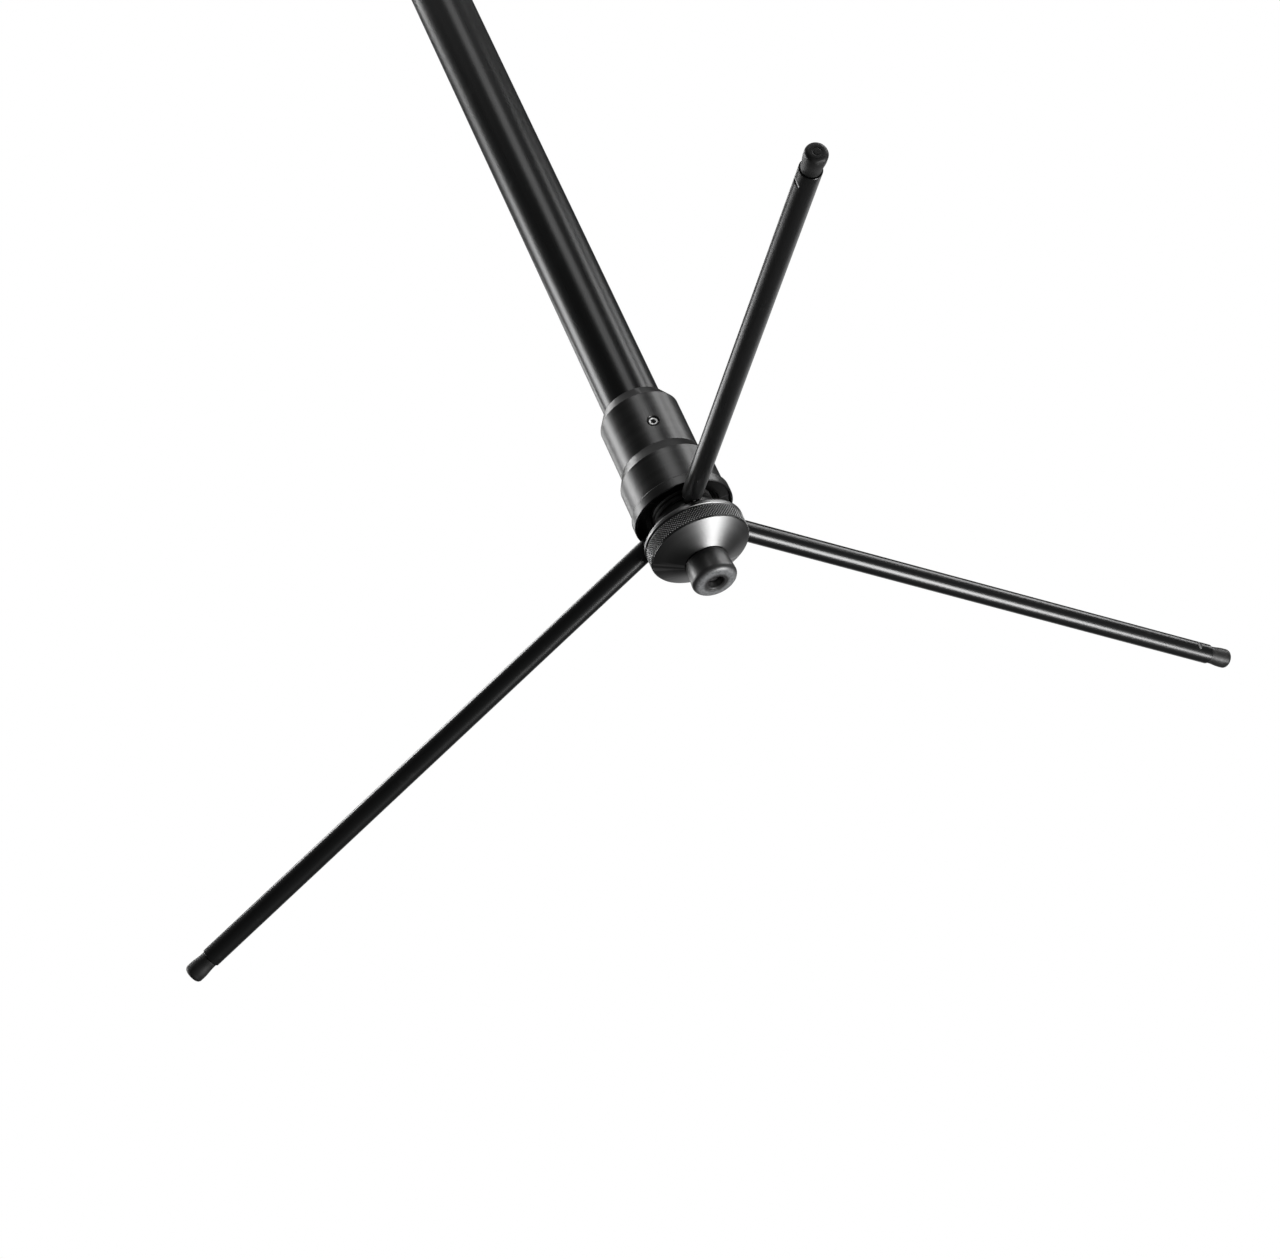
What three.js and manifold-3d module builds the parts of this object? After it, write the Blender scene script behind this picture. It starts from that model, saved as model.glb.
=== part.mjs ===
// Folding music stand: a turned hub with three slim hinged legs, a knurled clamp nut below it,
// a telescoping pole with a height clutch, and a tilting sheet-metal desk.
// Millimetres, +Z up. The origin is on the floor under the pole's axis; the player stands at -Y.

import * as THREE from 'three';
import { mergeVertices } from 'three/addons/utils/BufferGeometryUtils.js';
import Module from 'manifold-3d';

const wasm = await Module();
wasm.setup();

const rad = THREE.MathUtils.degToRad;

// ---------------------------------------------------------------- driving dimensions

const GAP = 0.3; // clearance between pieces that seat on or in each other
const PIN_GAP = 0.15; // radial clearance of the small cross pins

// Legs
const ROD_R = 4.0;
const LEG_REACH = 250.2; // pole axis to the rod's outer end, along the rod
const LEG_SLOPE = rad(13.17); // below horizontal when open
const LEG_AZIMUTHS = [-90, 32, 148].map(rad);
const BOSS_CLEARANCE = 0.5; // between a rod's rounded inner end and the nut's boss
const HINGE_PIN_R = 1.0;
const LUG_THICK = 2.4;
const LUG_WIDTH = 4.0;
const ROD_BORE_R = 3.2; // blind bore in the rod's end for the foot's stem
const ROD_BORE_DEPTH = 14;
const ROD_END_ROUND = 0.4;
const CRIMP_FROM_END = 6.5; // crimp that holds the foot's stem
const CRIMP_R = 1.2;
const CRIMP_DEPTH = 0.55;

// Feet
const FOOT_LENGTH = 10.2; // beyond the rod's end
const FOOT_NECK_R = 3.2;
const FOOT_R = 3.95;
const FOOT_FLARE_FROM = 2.4;
const FOOT_FLARE_TO = 6.4;
const FOOT_ROUND = 1.7;
const FOOT_FLAT = 0.25; // depth of the flat worn where a foot meets the floor
const FOOT_STEM_LENGTH = 13;

// Hinge ring and hub
const RING_BEYOND_PIN = 2.1; // hinge pin's axis to the ring's edge
const RING_RIM = 1.0; // width of the rim round the recessed underside
const RING_RECESS = 1.2; // underside recess above the rim
const RING_HEIGHT = 4.2;
const RING_SPIGOT_WALL = 3.2;
const RING_SPIGOT_HEIGHT = 5.4;
const HUB_BODY_HEIGHT = 14.6;
const HUB_SHOULDER_HEIGHT = 5.5; // cone between body and collar
const HUB_STEP = 2.7; // body radius over collar radius
const COLLAR_WALL = 4.05; // outside the tube's socket
const COLLAR_TOP_WALL = 1.0;
const COLLAR_CONE_HEIGHT = 5.4;
const HUB_WEB = 1.5; // web that the tube stands on
const HUB_WEB_R = 9.5;
const TUBE_SOCKET_DEPTH = 28.2;
const GRUB_R = 2.0;
const GRUB_HEX = 2.0; // across flats
const GRUB_SUNK = 0.4; // socket end below the surface round it
const HUB_GRUB_BELOW_TOP = 19.5;
const GRUB_AZIMUTH = rad(29);

// Clamp nut and tip
const NUT_R = 19.9;
const NUT_LIP_ROUND = 1.7;
const NUT_LIP_HEIGHT = 2.7;
const NUT_KNURL_HEIGHT = 6.3;
const NUT_CONE_HEIGHT = 5.4;
const NUT_CONE_END_R = 8.6;
const NUT_GROOVE = 0.4;
const NUT_BOSS_STEP = 1.1; // boss radius over stud radius
const NUT_BOSS_HEIGHT = 6.0;
const NUT_STUD_R = 12.2;
const NUT_STUD_HEIGHT = 26.6;
const STUD_BELOW_WEB = 0.55; // end clearance in the hub's bore
const NUT_BORE_R = 9.0;
const NUT_WEB = 11;
const TIP_TOP_R = 8.3;
const TIP_R = 9.0;
const TIP_LENGTH = 10.7;
const TIP_ROUND = 2.4;
const TIP_HOLE_R = 3.2;
const TIP_HOLE_DEPTH = 6.0;
const TIP_SCREW_R = 1.6;
const TIP_SCREW_HEAD_R = 2.7;
const TIP_SCREW_HEAD = 2.6;
const TIP_SCREW_LENGTH = 15;

// Pole
const TUBE_R = 11.75;
const TUBE_WALL = 1.6;
const TUBE_TOP = 700;
const SHAFT_PLAY = 1.65; // between shaft and tube, taken up by the plug and the clutch
const SHAFT_WALL = 1.2;
const SHAFT_ABOVE_SEAT = 111; // shaft's lower end above the hub's web
const SHAFT_SHOWN = 68; // shaft's upper end above the tube
const PLUG_LENGTH = 12;

// Height clutch
const CLUTCH_WALL = 3.45; // outside the tube's socket
const CLUTCH_SOCKET_DEPTH = 28;
const CLUTCH_HEAD_HEIGHT = 20;
const CLUTCH_CONE_HEIGHT = 5;
const CLUTCH_TOP_WALL = 2.7; // outside the shaft's bore
const CLUTCH_SCREW_UP = 9; // above the tube's top end
const KNOB_STEM_R = 3.0;
const PAD_LENGTH = 2.0;
const CLUTCH_KNOB_R = 9.5;
const CLUTCH_KNOB_LENGTH = 13;
const CLUTCH_KNOB_NECK = 2.5;

// Tilter
const HEAD_WALL = 2.95; // outside the shaft's socket
const HEAD_SOCKET_DEPTH = 20;
const HEAD_CAP = 7;
const TONGUE_THICK = 8;
const TONGUE_R = 10; // round end about the tilt axis
const TILT_ABOVE_HEAD = 21; // tilt axis above the head's turned part
const TILT_BOLT_R = 3.0;
const WASHER_R = 9;
const WASHER_THICK = 1.0;
const CHEEK_THICK = 3.0;
const TILT_KNOB_R = 11;
const TILT_KNOB_LENGTH = 16;
const BOLT_HEAD_R = 6;
const BOLT_HEAD = 3.6;

// Desk, in its own frame: the tilt axis is its origin and the plate is upright in front of it
const DESK_WIDTH = 460;
const DESK_BELOW_AXIS = 120;
const DESK_ABOVE_AXIS = 200;
const DESK_CORNER = 28;
const SHEET = 1.6;
const DESK_OFFSET = 27; // tilt axis to the front of the bracket's web
const DESK_TILT = rad(20); // leaning back from upright
const WEB_WIDTH = 90;
const WEB_HEIGHT = 50;
const CHEEK_HEIGHT = 30;
const SLOT_WIDTH = 12;
const SLOT_LENGTH = 76;
const SLOT_PITCH_X = 52;
const SLOT_COLUMNS = 7;
const SLOT_ROWS = [96, -66]; // slot centres above and below the tilt axis
const LEDGE_DEPTH = 45;
const LEDGE_FLANGE = 14;
const LEDGE_LIP = 9;
const RIVET_R = 1.9;
const RIVET_HEAD_R = 3.6;
const RIVET_HEAD = 1.0;
const LEDGE_RIVET_PITCH = 190;

const FINE = 30; // sides of a large turned piece
const HUB_SIDES = 36;
const MEDIUM = 20; // sides of a rod or a knob
const SMALL = 16; // sides of a small one
const RIVET_SIDES = 10;

// ---------------------------------------------------------------- radii and heights worked out from these

const socketR = TUBE_R + GAP;
const tubeBoreR = TUBE_R - TUBE_WALL;
const shaftR = tubeBoreR - SHAFT_PLAY;
const shaftBoreR = shaftR + GAP; // of the pieces round the shaft
const collarR = socketR + COLLAR_WALL;
const hubR = collarR + HUB_STEP;
const clutchR = socketR + CLUTCH_WALL;
const headR = shaftBoreR + HEAD_WALL;
const bossR = NUT_STUD_R + NUT_BOSS_STEP;
const studBoreR = NUT_STUD_R + GAP;
const spigotR = studBoreR + RING_SPIGOT_WALL;
const hingeR = bossR + BOSS_CLEARANCE + ROD_R; // pole axis to a leg's hinge pin
const ringR = hingeR + RING_BEYOND_PIN;

const tanSlope = Math.tan(LEG_SLOPE);
const cosSlope = Math.cos(LEG_SLOPE);
const sinSlope = Math.sin(LEG_SLOPE);
const rodTop = (radius) => ROD_R / cosSlope - radius * tanSlope; // a rod's top line above the crossing
const rodBottom = (radius) => -ROD_R / cosSlope - radius * tanSlope;
const rodLength = LEG_REACH - hingeR / cosSlope; // pin to outer end
const footDrop = (LEG_REACH + FOOT_LENGTH - FOOT_ROUND) * sinSlope + FOOT_R * cosSlope
  + FOOT_ROUND * (1 - cosSlope);
const crossZ = footDrop - FOOT_FLAT; // where the three rods' axes meet the pole's axis
const hingeZ = crossZ - hingeR * tanSlope;
const ringZ = crossZ + rodTop(ringR - RING_RIM) + GAP;
const hubZ = ringZ + RING_HEIGHT + GAP;
const nutFaceR = NUT_R - NUT_LIP_ROUND;
const nutZ = crossZ + rodBottom(nutFaceR) - GAP; // the nut's clamping face
const studTopZ = nutZ + NUT_BOSS_HEIGHT + NUT_STUD_HEIGHT;
const seatZ = studTopZ + STUD_BELOW_WEB + HUB_WEB; // where the tube stands, clear of the stud
const hubTopZ = seatZ + TUBE_SOCKET_DEPTH;
const nutEndZ = nutZ - NUT_LIP_HEIGHT - NUT_KNURL_HEIGHT - NUT_CONE_HEIGHT;
const shaftBottom = seatZ + SHAFT_ABOVE_SEAT;
const shaftTop = TUBE_TOP + SHAFT_SHOWN;
const headZ = shaftTop - HEAD_SOCKET_DEPTH;
const tiltZ = shaftTop + GAP + HEAD_CAP + TILT_ABOVE_HEAD;
const washerX = TONGUE_THICK / 2 + GAP;
const cheekX = washerX + WASHER_THICK + GAP;
const cheekOuterX = cheekX + CHEEK_THICK;

// ---------------------------------------------------------------- solids

const p = (x, y) => new THREE.Vector2(x, y);

/** Points of an arc about (x, y), from one angle to another, in degrees. */
function arc(x, y, radius, from, to, steps) {
  const points = [];
  for (let i = 0; i <= steps; i += 1) {
    const angle = rad(from + (to - from) * i / steps);
    points.push(p(x + radius * Math.cos(angle), y + radius * Math.sin(angle)));
  }
  return points;
}

/** Position-only geometry with shared vertices and its faces pointing out. */
function clean(geometry) {
  const bare = geometry.clone();
  bare.deleteAttribute('normal');
  bare.deleteAttribute('uv');
  const merged = mergeVertices(bare, 1e-4);
  const index = [];
  const v = merged.getAttribute('position');
  const corner = (i) => new THREE.Vector3().fromBufferAttribute(v, i);
  let volume = 0;
  for (let i = 0; i < merged.index.count; i += 3) {
    const [a, b, c] = [0, 1, 2].map((k) => merged.index.getX(i + k));
    if (a === b || b === c || c === a) continue;
    index.push(a, b, c);
    volume += corner(a).dot(corner(b).cross(corner(c)));
  }
  if (volume < 0) index.reverse();
  merged.setIndex(index);
  return merged;
}

function toManifold(geometry) {
  const solid = clean(geometry);
  return new wasm.Manifold(new wasm.Mesh({
    numProp: 3,
    vertProperties: new Float32Array(solid.getAttribute('position').array),
    triVerts: new Uint32Array(solid.index.array),
  }));
}

function fromManifold(manifold) {
  const mesh = manifold.getMesh();
  const geometry = new THREE.BufferGeometry();
  geometry.setAttribute('position', new THREE.BufferAttribute(new Float32Array(mesh.vertProperties), 3));
  geometry.setIndex(new THREE.BufferAttribute(new Uint32Array(mesh.triVerts), 1));
  return geometry;
}

function cut(geometry, ...tools) {
  return fromManifold(tools.reduce((rest, tool) => rest.subtract(toManifold(tool)), toManifold(geometry)));
}

function join(geometry, ...others) {
  return fromManifold(others.reduce((all, other) => all.add(toManifold(other)), toManifold(geometry)));
}

/** A profile of (radius, height) points turned about +Z. */
function turned(points, sides = FINE) {
  return clean(new THREE.LatheGeometry(points, sides).rotateX(Math.PI / 2));
}

/** A hollow turned piece: its profile closes on itself. */
function turnedRing(points, sides = FINE) {
  return turned([...points, points[0]], sides);
}

function rodAlongZ(radius, from, to, sides = SMALL) {
  return turned([p(0, from), p(radius, from), p(radius, to), p(0, to)], sides);
}

function alongX(geometry) {
  return geometry.clone().rotateY(Math.PI / 2);
}

function alongY(geometry) {
  return geometry.clone().rotateX(-Math.PI / 2);
}

function box(x0, x1, y0, y1, z0, z1) {
  return new THREE.BoxGeometry(x1 - x0, y1 - y0, z1 - z0)
    .translate((x0 + x1) / 2, (y0 + y1) / 2, (z0 + z1) / 2);
}

/** Hexagonal prism along +Z, for a socket. */
function hexAlongZ(acrossFlats, from, to) {
  return new THREE.CylinderGeometry(acrossFlats / Math.sqrt(3), acrossFlats / Math.sqrt(3), to - from, 6)
    .rotateX(Math.PI / 2).translate(0, 0, (from + to) / 2);
}

/** An outline drawn in (depth, height), extruded along X between two places. */
function extrudeX(shape, from, to, curveSegments = 8) {
  return new THREE.ExtrudeGeometry(shape, { depth: to - from, bevelEnabled: false, curveSegments })
    .rotateX(Math.PI / 2).rotateZ(Math.PI / 2).translate(from, 0, 0);
}

/** An outline drawn in (across, height), extruded along Y between two places. */
function extrudeY(shape, from, to, curveSegments = 8) {
  return new THREE.ExtrudeGeometry(shape, { depth: to - from, bevelEnabled: false, curveSegments })
    .rotateX(Math.PI / 2).translate(0, to, 0);
}

function roundedRectangle(x0, x1, y0, y1, radius) {
  const shape = new THREE.Shape();
  shape.moveTo(x0 + radius, y0);
  shape.lineTo(x1 - radius, y0);
  shape.absarc(x1 - radius, y0 + radius, radius, -Math.PI / 2, 0, false);
  shape.lineTo(x1, y1 - radius);
  shape.absarc(x1 - radius, y1 - radius, radius, 0, Math.PI / 2, false);
  shape.lineTo(x0 + radius, y1);
  shape.absarc(x0 + radius, y1 - radius, radius, Math.PI / 2, Math.PI, false);
  shape.lineTo(x0, y0 + radius);
  shape.absarc(x0 + radius, y0 + radius, radius, Math.PI, 1.5 * Math.PI, false);
  return shape;
}

// ---------------------------------------------------------------- materials

function material(color, roughness, metalness) {
  return new THREE.MeshStandardMaterial({ color, roughness, metalness });
}

const anodised = () => material(0x17181a, 0.42, 0.6);
const turnedBlack = () => material(0x1c1d1f, 0.38, 0.7);
const rubber = () => material(0x1b1b1c, 0.8, 0.0);
const steel = () => material(0x6a6c70, 0.35, 1.0);
const nylon = () => material(0x2a2a2b, 0.6, 0.0);
const powderCoat = () => material(0x141516, 0.55, 0.2);

const stand = new THREE.Group();

function add(parent, name, geometry, finish) {
  const mesh = new THREE.Mesh(geometry, finish);
  mesh.name = name;
  parent.add(mesh);
  return mesh;
}

// ---------------------------------------------------------------- hub

/** Socket set screw lying along +X, its socket outwards. */
function grubScrew(fromX, toX) {
  const screw = cut(rodAlongZ(GRUB_R, fromX, toX), hexAlongZ(GRUB_HEX, toX - 1.8, toX + 1));
  return alongX(screw);
}

function hubBody() {
  const recessR = spigotR + GAP;
  const bodyTop = hubZ + HUB_BODY_HEIGHT;
  const shoulderTop = bodyTop + HUB_SHOULDER_HEIGHT;
  const recessTop = ringZ + RING_HEIGHT + RING_SPIGOT_HEIGHT + GAP;
  const body = turnedRing([
    p(recessR, hubZ), p(hubR - 0.3, hubZ), p(hubR, hubZ + 0.3), p(hubR, bodyTop),
    p(collarR, shoulderTop), p(collarR, hubTopZ - COLLAR_CONE_HEIGHT), p(socketR + COLLAR_TOP_WALL, hubTopZ),
    p(socketR, hubTopZ), p(socketR, seatZ), p(HUB_WEB_R, seatZ), p(HUB_WEB_R, seatZ - HUB_WEB),
    p(studBoreR, seatZ - HUB_WEB), p(studBoreR, recessTop), p(recessR, recessTop),
  ], HUB_SIDES);
  const hole = alongX(rodAlongZ(GRUB_R + GAP, HUB_WEB_R + 1, collarR + 2))
    .translate(0, 0, hubTopZ - HUB_GRUB_BELOW_TOP).rotateZ(GRUB_AZIMUTH);
  return cut(body, hole);
}

/** Lug that stands in a leg's slot, in the leg's frame: +X outwards, the pole's axis at X 0. */
function hingeLug() {
  const half = LUG_WIDTH / 2;
  const shape = new THREE.Shape();
  shape.moveTo(hingeR - half, hingeZ);
  shape.absarc(hingeR, hingeZ, half, Math.PI, 2 * Math.PI, false);
  shape.lineTo(hingeR + half, ringZ + RING_RECESS + 1);
  shape.lineTo(hingeR - half, ringZ + RING_RECESS + 1);
  shape.closePath();
  return extrudeY(shape, -LUG_THICK / 2, LUG_THICK / 2);
}

function pinHole() {
  return alongY(rodAlongZ(HINGE_PIN_R + PIN_GAP, -2 * ROD_R, 2 * ROD_R)).translate(hingeR, 0, hingeZ);
}

function hingeRing() {
  const underside = ringZ + RING_RECESS;
  const top = ringZ + RING_HEIGHT;
  const spigotTop = top + RING_SPIGOT_HEIGHT;
  const ring = turnedRing([
    p(ringR - RING_RIM, ringZ), p(ringR - 0.3, ringZ), p(ringR, ringZ + 0.3), p(ringR, top),
    p(spigotR, top), p(spigotR, spigotTop), p(studBoreR, spigotTop),
    p(studBoreR, underside + 1.4), p(studBoreR + 1.1, underside + 1.4), p(studBoreR + 1.1, underside + 0.7),
    p(studBoreR + 2.1, underside + 0.7), p(studBoreR + 2.1, underside), p(ringR - RING_RIM, underside),
  ], HUB_SIDES);
  const lugs = LEG_AZIMUTHS.map((azimuth) => hingeLug().rotateZ(azimuth));
  const holes = LEG_AZIMUTHS.map((azimuth) => pinHole().rotateZ(azimuth));
  return cut(join(ring, ...lugs), ...holes);
}

// ---------------------------------------------------------------- legs

/** Moves a piece drawn along +X from the hinge pin to its place, in the leg's frame. */
function sloped(geometry) {
  return geometry.clone().rotateY(LEG_SLOPE).translate(hingeR, 0, hingeZ);
}

function legRod() {
  const rod = alongX(turned([
    ...arc(0, 0, ROD_R, -90, 0, 5), p(ROD_R, rodLength - ROD_END_ROUND),
    p(ROD_R - ROD_END_ROUND, rodLength), p(ROD_BORE_R, rodLength),
    p(ROD_BORE_R, rodLength - ROD_BORE_DEPTH), p(0, rodLength - ROD_BORE_DEPTH),
  ], MEDIUM));
  const half = LUG_THICK / 2 + GAP;
  const slot = box(-2 * ROD_R, LUG_WIDTH / 2 + 2 * GAP, -half, half, -2 * ROD_R, 2 * ROD_R);
  const crimp = rodAlongZ(CRIMP_R, -2 * ROD_R, 2 * ROD_R)
    .translate(rodLength - CRIMP_FROM_END, -(ROD_R + CRIMP_R - CRIMP_DEPTH), 0);
  return cut(sloped(cut(rod, slot, crimp)), pinHole());
}

function hingePin() {
  const half = Math.sqrt(ROD_R ** 2 - HINGE_PIN_R ** 2) - 0.2;
  return alongY(rodAlongZ(HINGE_PIN_R, -half, half)).translate(hingeR, 0, hingeZ);
}

/** Rubber plug: a stem in the rod, a narrow neck and a rounded end with a small flat on the floor. */
function foot() {
  const stemR = ROD_BORE_R - GAP;
  const end = rodLength + FOOT_LENGTH;
  const plug = alongX(turned([
    p(0, rodLength - FOOT_STEM_LENGTH), p(stemR, rodLength - FOOT_STEM_LENGTH), p(stemR, rodLength + GAP),
    p(FOOT_NECK_R, rodLength + GAP), p(FOOT_NECK_R, rodLength + FOOT_FLARE_FROM),
    p((FOOT_NECK_R + FOOT_R) / 2, rodLength + (FOOT_FLARE_FROM + FOOT_FLARE_TO) / 2),
    p(FOOT_R, rodLength + FOOT_FLARE_TO),
    ...arc(FOOT_R - FOOT_ROUND, end - FOOT_ROUND, FOOT_ROUND, 0, 90, 3), p(0, end),
  ], SMALL));
  const floor = box(0, 2 * LEG_REACH, -50, 50, -50, 0);
  return cut(sloped(plug), floor);
}

// ---------------------------------------------------------------- clamp nut and tip

function clampNut() {
  const lipZ = nutZ - NUT_LIP_HEIGHT;
  const coneZ = lipZ - NUT_KNURL_HEIGHT;
  const bossTop = nutZ + NUT_BOSS_HEIGHT;
  const studTop = studTopZ;
  const screwR = TIP_SCREW_R + GAP;
  return turnedRing([
    p(screwR, nutEndZ), p(NUT_CONE_END_R, nutEndZ), p(NUT_R - 0.6, coneZ), p(NUT_R, coneZ + 0.5),
    p(NUT_R, lipZ - NUT_GROOVE), p(NUT_R - NUT_GROOVE, lipZ), p(NUT_R, lipZ + NUT_GROOVE),
    ...arc(nutFaceR, nutZ - NUT_LIP_ROUND, NUT_LIP_ROUND, 0, 90, 4),
    p(bossR, nutZ), p(bossR, bossTop - 0.3), p(bossR - 0.3, bossTop),
    p(NUT_STUD_R, bossTop), p(NUT_STUD_R, studTop - 0.5), p(NUT_STUD_R - 0.5, studTop),
    p(NUT_BORE_R, studTop), p(NUT_BORE_R, nutEndZ + NUT_WEB), p(screwR, nutEndZ + NUT_WEB),
  ], HUB_SIDES);
}

function rubberTip() {
  const top = nutEndZ - GAP;
  const end = top - TIP_LENGTH;
  const screwR = TIP_SCREW_R + GAP;
  return turnedRing([
    p(screwR, top), p(TIP_TOP_R, top), ...arc(TIP_R - TIP_ROUND, end + TIP_ROUND, TIP_ROUND, 0, -90, 4),
    p(TIP_HOLE_R, end), p(TIP_HOLE_R, end + TIP_HOLE_DEPTH), p(screwR, end + TIP_HOLE_DEPTH),
  ]);
}

function tipScrew() {
  const seat = nutEndZ - GAP - TIP_LENGTH + TIP_HOLE_DEPTH - GAP;
  const screw = turned([
    p(0, seat - TIP_SCREW_HEAD), p(TIP_SCREW_HEAD_R, seat - TIP_SCREW_HEAD), p(TIP_SCREW_HEAD_R, seat),
    p(TIP_SCREW_R, seat), p(TIP_SCREW_R, seat + TIP_SCREW_LENGTH), p(0, seat + TIP_SCREW_LENGTH),
  ], SMALL);
  return cut(screw, hexAlongZ(TIP_SCREW_HEAD_R, seat - TIP_SCREW_HEAD - 1, seat - 1));
}

// ---------------------------------------------------------------- pole

function lowerTube() {
  const bottom = seatZ + GAP;
  return turnedRing([
    p(tubeBoreR, bottom), p(TUBE_R, bottom), p(TUBE_R, TUBE_TOP), p(tubeBoreR, TUBE_TOP),
  ]);
}

function upperShaft() {
  const boreR = shaftR - SHAFT_WALL;
  return turnedRing([
    p(boreR, shaftBottom), p(shaftR, shaftBottom), p(shaftR, shaftTop), p(boreR, shaftTop),
  ]);
}

/** Guide plug in the shaft's lower end, a sliding fit in the tube. */
function shaftPlug() {
  const guideR = tubeBoreR - GAP;
  const stemR = shaftR - SHAFT_WALL - GAP;
  const shoulder = shaftBottom - GAP;
  return turned([
    p(0, shoulder - PLUG_LENGTH), p(guideR - 1, shoulder - PLUG_LENGTH),
    p(guideR, shoulder - PLUG_LENGTH + 1),
    p(guideR, shoulder), p(stemR, shoulder), p(stemR, shoulder + PLUG_LENGTH), p(0, shoulder + PLUG_LENGTH),
  ]);
}

// ---------------------------------------------------------------- height clutch

const clutchBottom = TUBE_TOP - CLUTCH_SOCKET_DEPTH;
const clutchTop = TUBE_TOP + CLUTCH_HEAD_HEIGHT;
const clutchScrewZ = TUBE_TOP + CLUTCH_SCREW_UP;
const clutchGrubZ = TUBE_TOP - CLUTCH_SOCKET_DEPTH / 2;

function clutchBody() {
  const body = turnedRing([
    p(socketR, clutchBottom), p(clutchR - 1, clutchBottom), p(clutchR, clutchBottom + 1),
    p(clutchR, clutchTop - CLUTCH_CONE_HEIGHT), p(shaftBoreR + CLUTCH_TOP_WALL, clutchTop),
    p(shaftBoreR, clutchTop),
    p(shaftBoreR, TUBE_TOP + GAP), p(socketR, TUBE_TOP + GAP),
  ]);
  const screwHole = alongX(rodAlongZ(KNOB_STEM_R + GAP, shaftR - 2, clutchR + 2))
    .translate(0, 0, clutchScrewZ);
  const grubHole = alongX(rodAlongZ(GRUB_R + GAP, TUBE_R - 1, clutchR + 2))
    .translate(0, 0, clutchGrubZ).rotateZ(GRUB_AZIMUTH);
  return cut(body, screwHole, grubHole);
}

function clutchPad() {
  const pad = rodAlongZ(KNOB_STEM_R - 0.1, shaftBoreR, shaftBoreR + PAD_LENGTH);
  return alongX(pad).translate(0, 0, clutchScrewZ);
}

/** Thumb screw along +X: stem, neck and a waisted grip. */
function clutchKnob() {
  const stem = shaftBoreR + PAD_LENGTH + GAP;
  const neck = clutchR + CLUTCH_KNOB_NECK;
  const end = neck + CLUTCH_KNOB_NECK + CLUTCH_KNOB_LENGTH;
  return alongX(turned([
    p(0, stem), p(KNOB_STEM_R, stem), p(KNOB_STEM_R, neck), p(2 * KNOB_STEM_R, neck),
    p(2 * KNOB_STEM_R, neck + CLUTCH_KNOB_NECK), p(CLUTCH_KNOB_R - 0.6, neck + CLUTCH_KNOB_NECK),
    p(CLUTCH_KNOB_R, neck + CLUTCH_KNOB_NECK + 0.6), p(CLUTCH_KNOB_R, end - 1), p(CLUTCH_KNOB_R - 1, end),
    p(0, end),
  ], MEDIUM)).translate(0, 0, clutchScrewZ);
}

// ---------------------------------------------------------------- tilter, about the tilt axis along X

function tiltHead() {
  const top = shaftTop + GAP + HEAD_CAP;
  const cap = turned([
    p(0, shaftTop + GAP), p(shaftBoreR, shaftTop + GAP), p(shaftBoreR, headZ), p(headR - 1, headZ),
    p(headR, headZ + 1), p(headR, top - 1), p(headR - 1, top), p(0, top),
  ]);
  const shape = new THREE.Shape();
  shape.moveTo(-TONGUE_R, top - 2);
  shape.lineTo(TONGUE_R, top - 2);
  shape.lineTo(TONGUE_R, tiltZ);
  shape.absarc(0, tiltZ, TONGUE_R, 0, Math.PI, false);
  shape.closePath();
  const tongue = extrudeX(shape, -TONGUE_THICK / 2, TONGUE_THICK / 2, 6);
  const hole = alongX(rodAlongZ(TILT_BOLT_R + GAP, -TONGUE_THICK, TONGUE_THICK)).translate(0, 0, tiltZ);
  return cut(join(cap, tongue), hole);
}

function tiltWasher() {
  const boreR = TILT_BOLT_R + GAP;
  return alongX(turnedRing([
    p(boreR, washerX), p(WASHER_R, washerX), p(WASHER_R, washerX + WASHER_THICK),
    p(boreR, washerX + WASHER_THICK),
  ], SMALL));
}

function tiltBolt() {
  const head = cheekOuterX + GAP;
  const length = cheekOuterX + TILT_KNOB_LENGTH / 2;
  const bolt = turned([
    p(0, -head - BOLT_HEAD), p(BOLT_HEAD_R - 0.8, -head - BOLT_HEAD), p(BOLT_HEAD_R, -head - BOLT_HEAD + 0.8),
    p(BOLT_HEAD_R, -head), p(TILT_BOLT_R, -head), p(TILT_BOLT_R, length), p(0, length),
  ], SMALL);
  return alongX(cut(bolt, hexAlongZ(4, -head - BOLT_HEAD - 1, -head - BOLT_HEAD + 2)));
}

function tiltKnob() {
  const face = cheekOuterX + GAP;
  const end = face + TILT_KNOB_LENGTH;
  const boreR = TILT_BOLT_R + GAP;
  const boreEnd = cheekOuterX + TILT_KNOB_LENGTH / 2 + 1;
  return alongX(turned([
    p(0, boreEnd), p(boreR, boreEnd), p(boreR, face), p(2 * TILT_BOLT_R, face), p(2 * TILT_BOLT_R, face + 3),
    p(TILT_KNOB_R - 0.6, face + 3), p(TILT_KNOB_R, face + 3.6), p(TILT_KNOB_R, end - 1),
    p(TILT_KNOB_R - 1, end), p(0, end),
  ], MEDIUM));
}

// ---------------------------------------------------------------- desk, upright about the tilt axis

const webBack = -DESK_OFFSET + CHEEK_THICK;
const plateBack = -DESK_OFFSET - GAP;
const plateFront = plateBack - SHEET;
const flangeBack = plateFront - GAP;
const rivetPlaces = [-1, 1].flatMap((x) => [-1, 1].map((z) => [x * WEB_WIDTH * 0.38, z * WEB_HEIGHT * 0.32]));
const ledgeRivetPlaces = [-1, 0, 1].map((x) => [x * LEDGE_RIVET_PITCH, LEDGE_FLANGE / 2 - DESK_BELOW_AXIS]);

function rivetHole([x, z]) {
  return alongY(rodAlongZ(RIVET_R + GAP, -2 * DESK_OFFSET, 0, RIVET_SIDES)).translate(x, 0, z);
}

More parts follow.
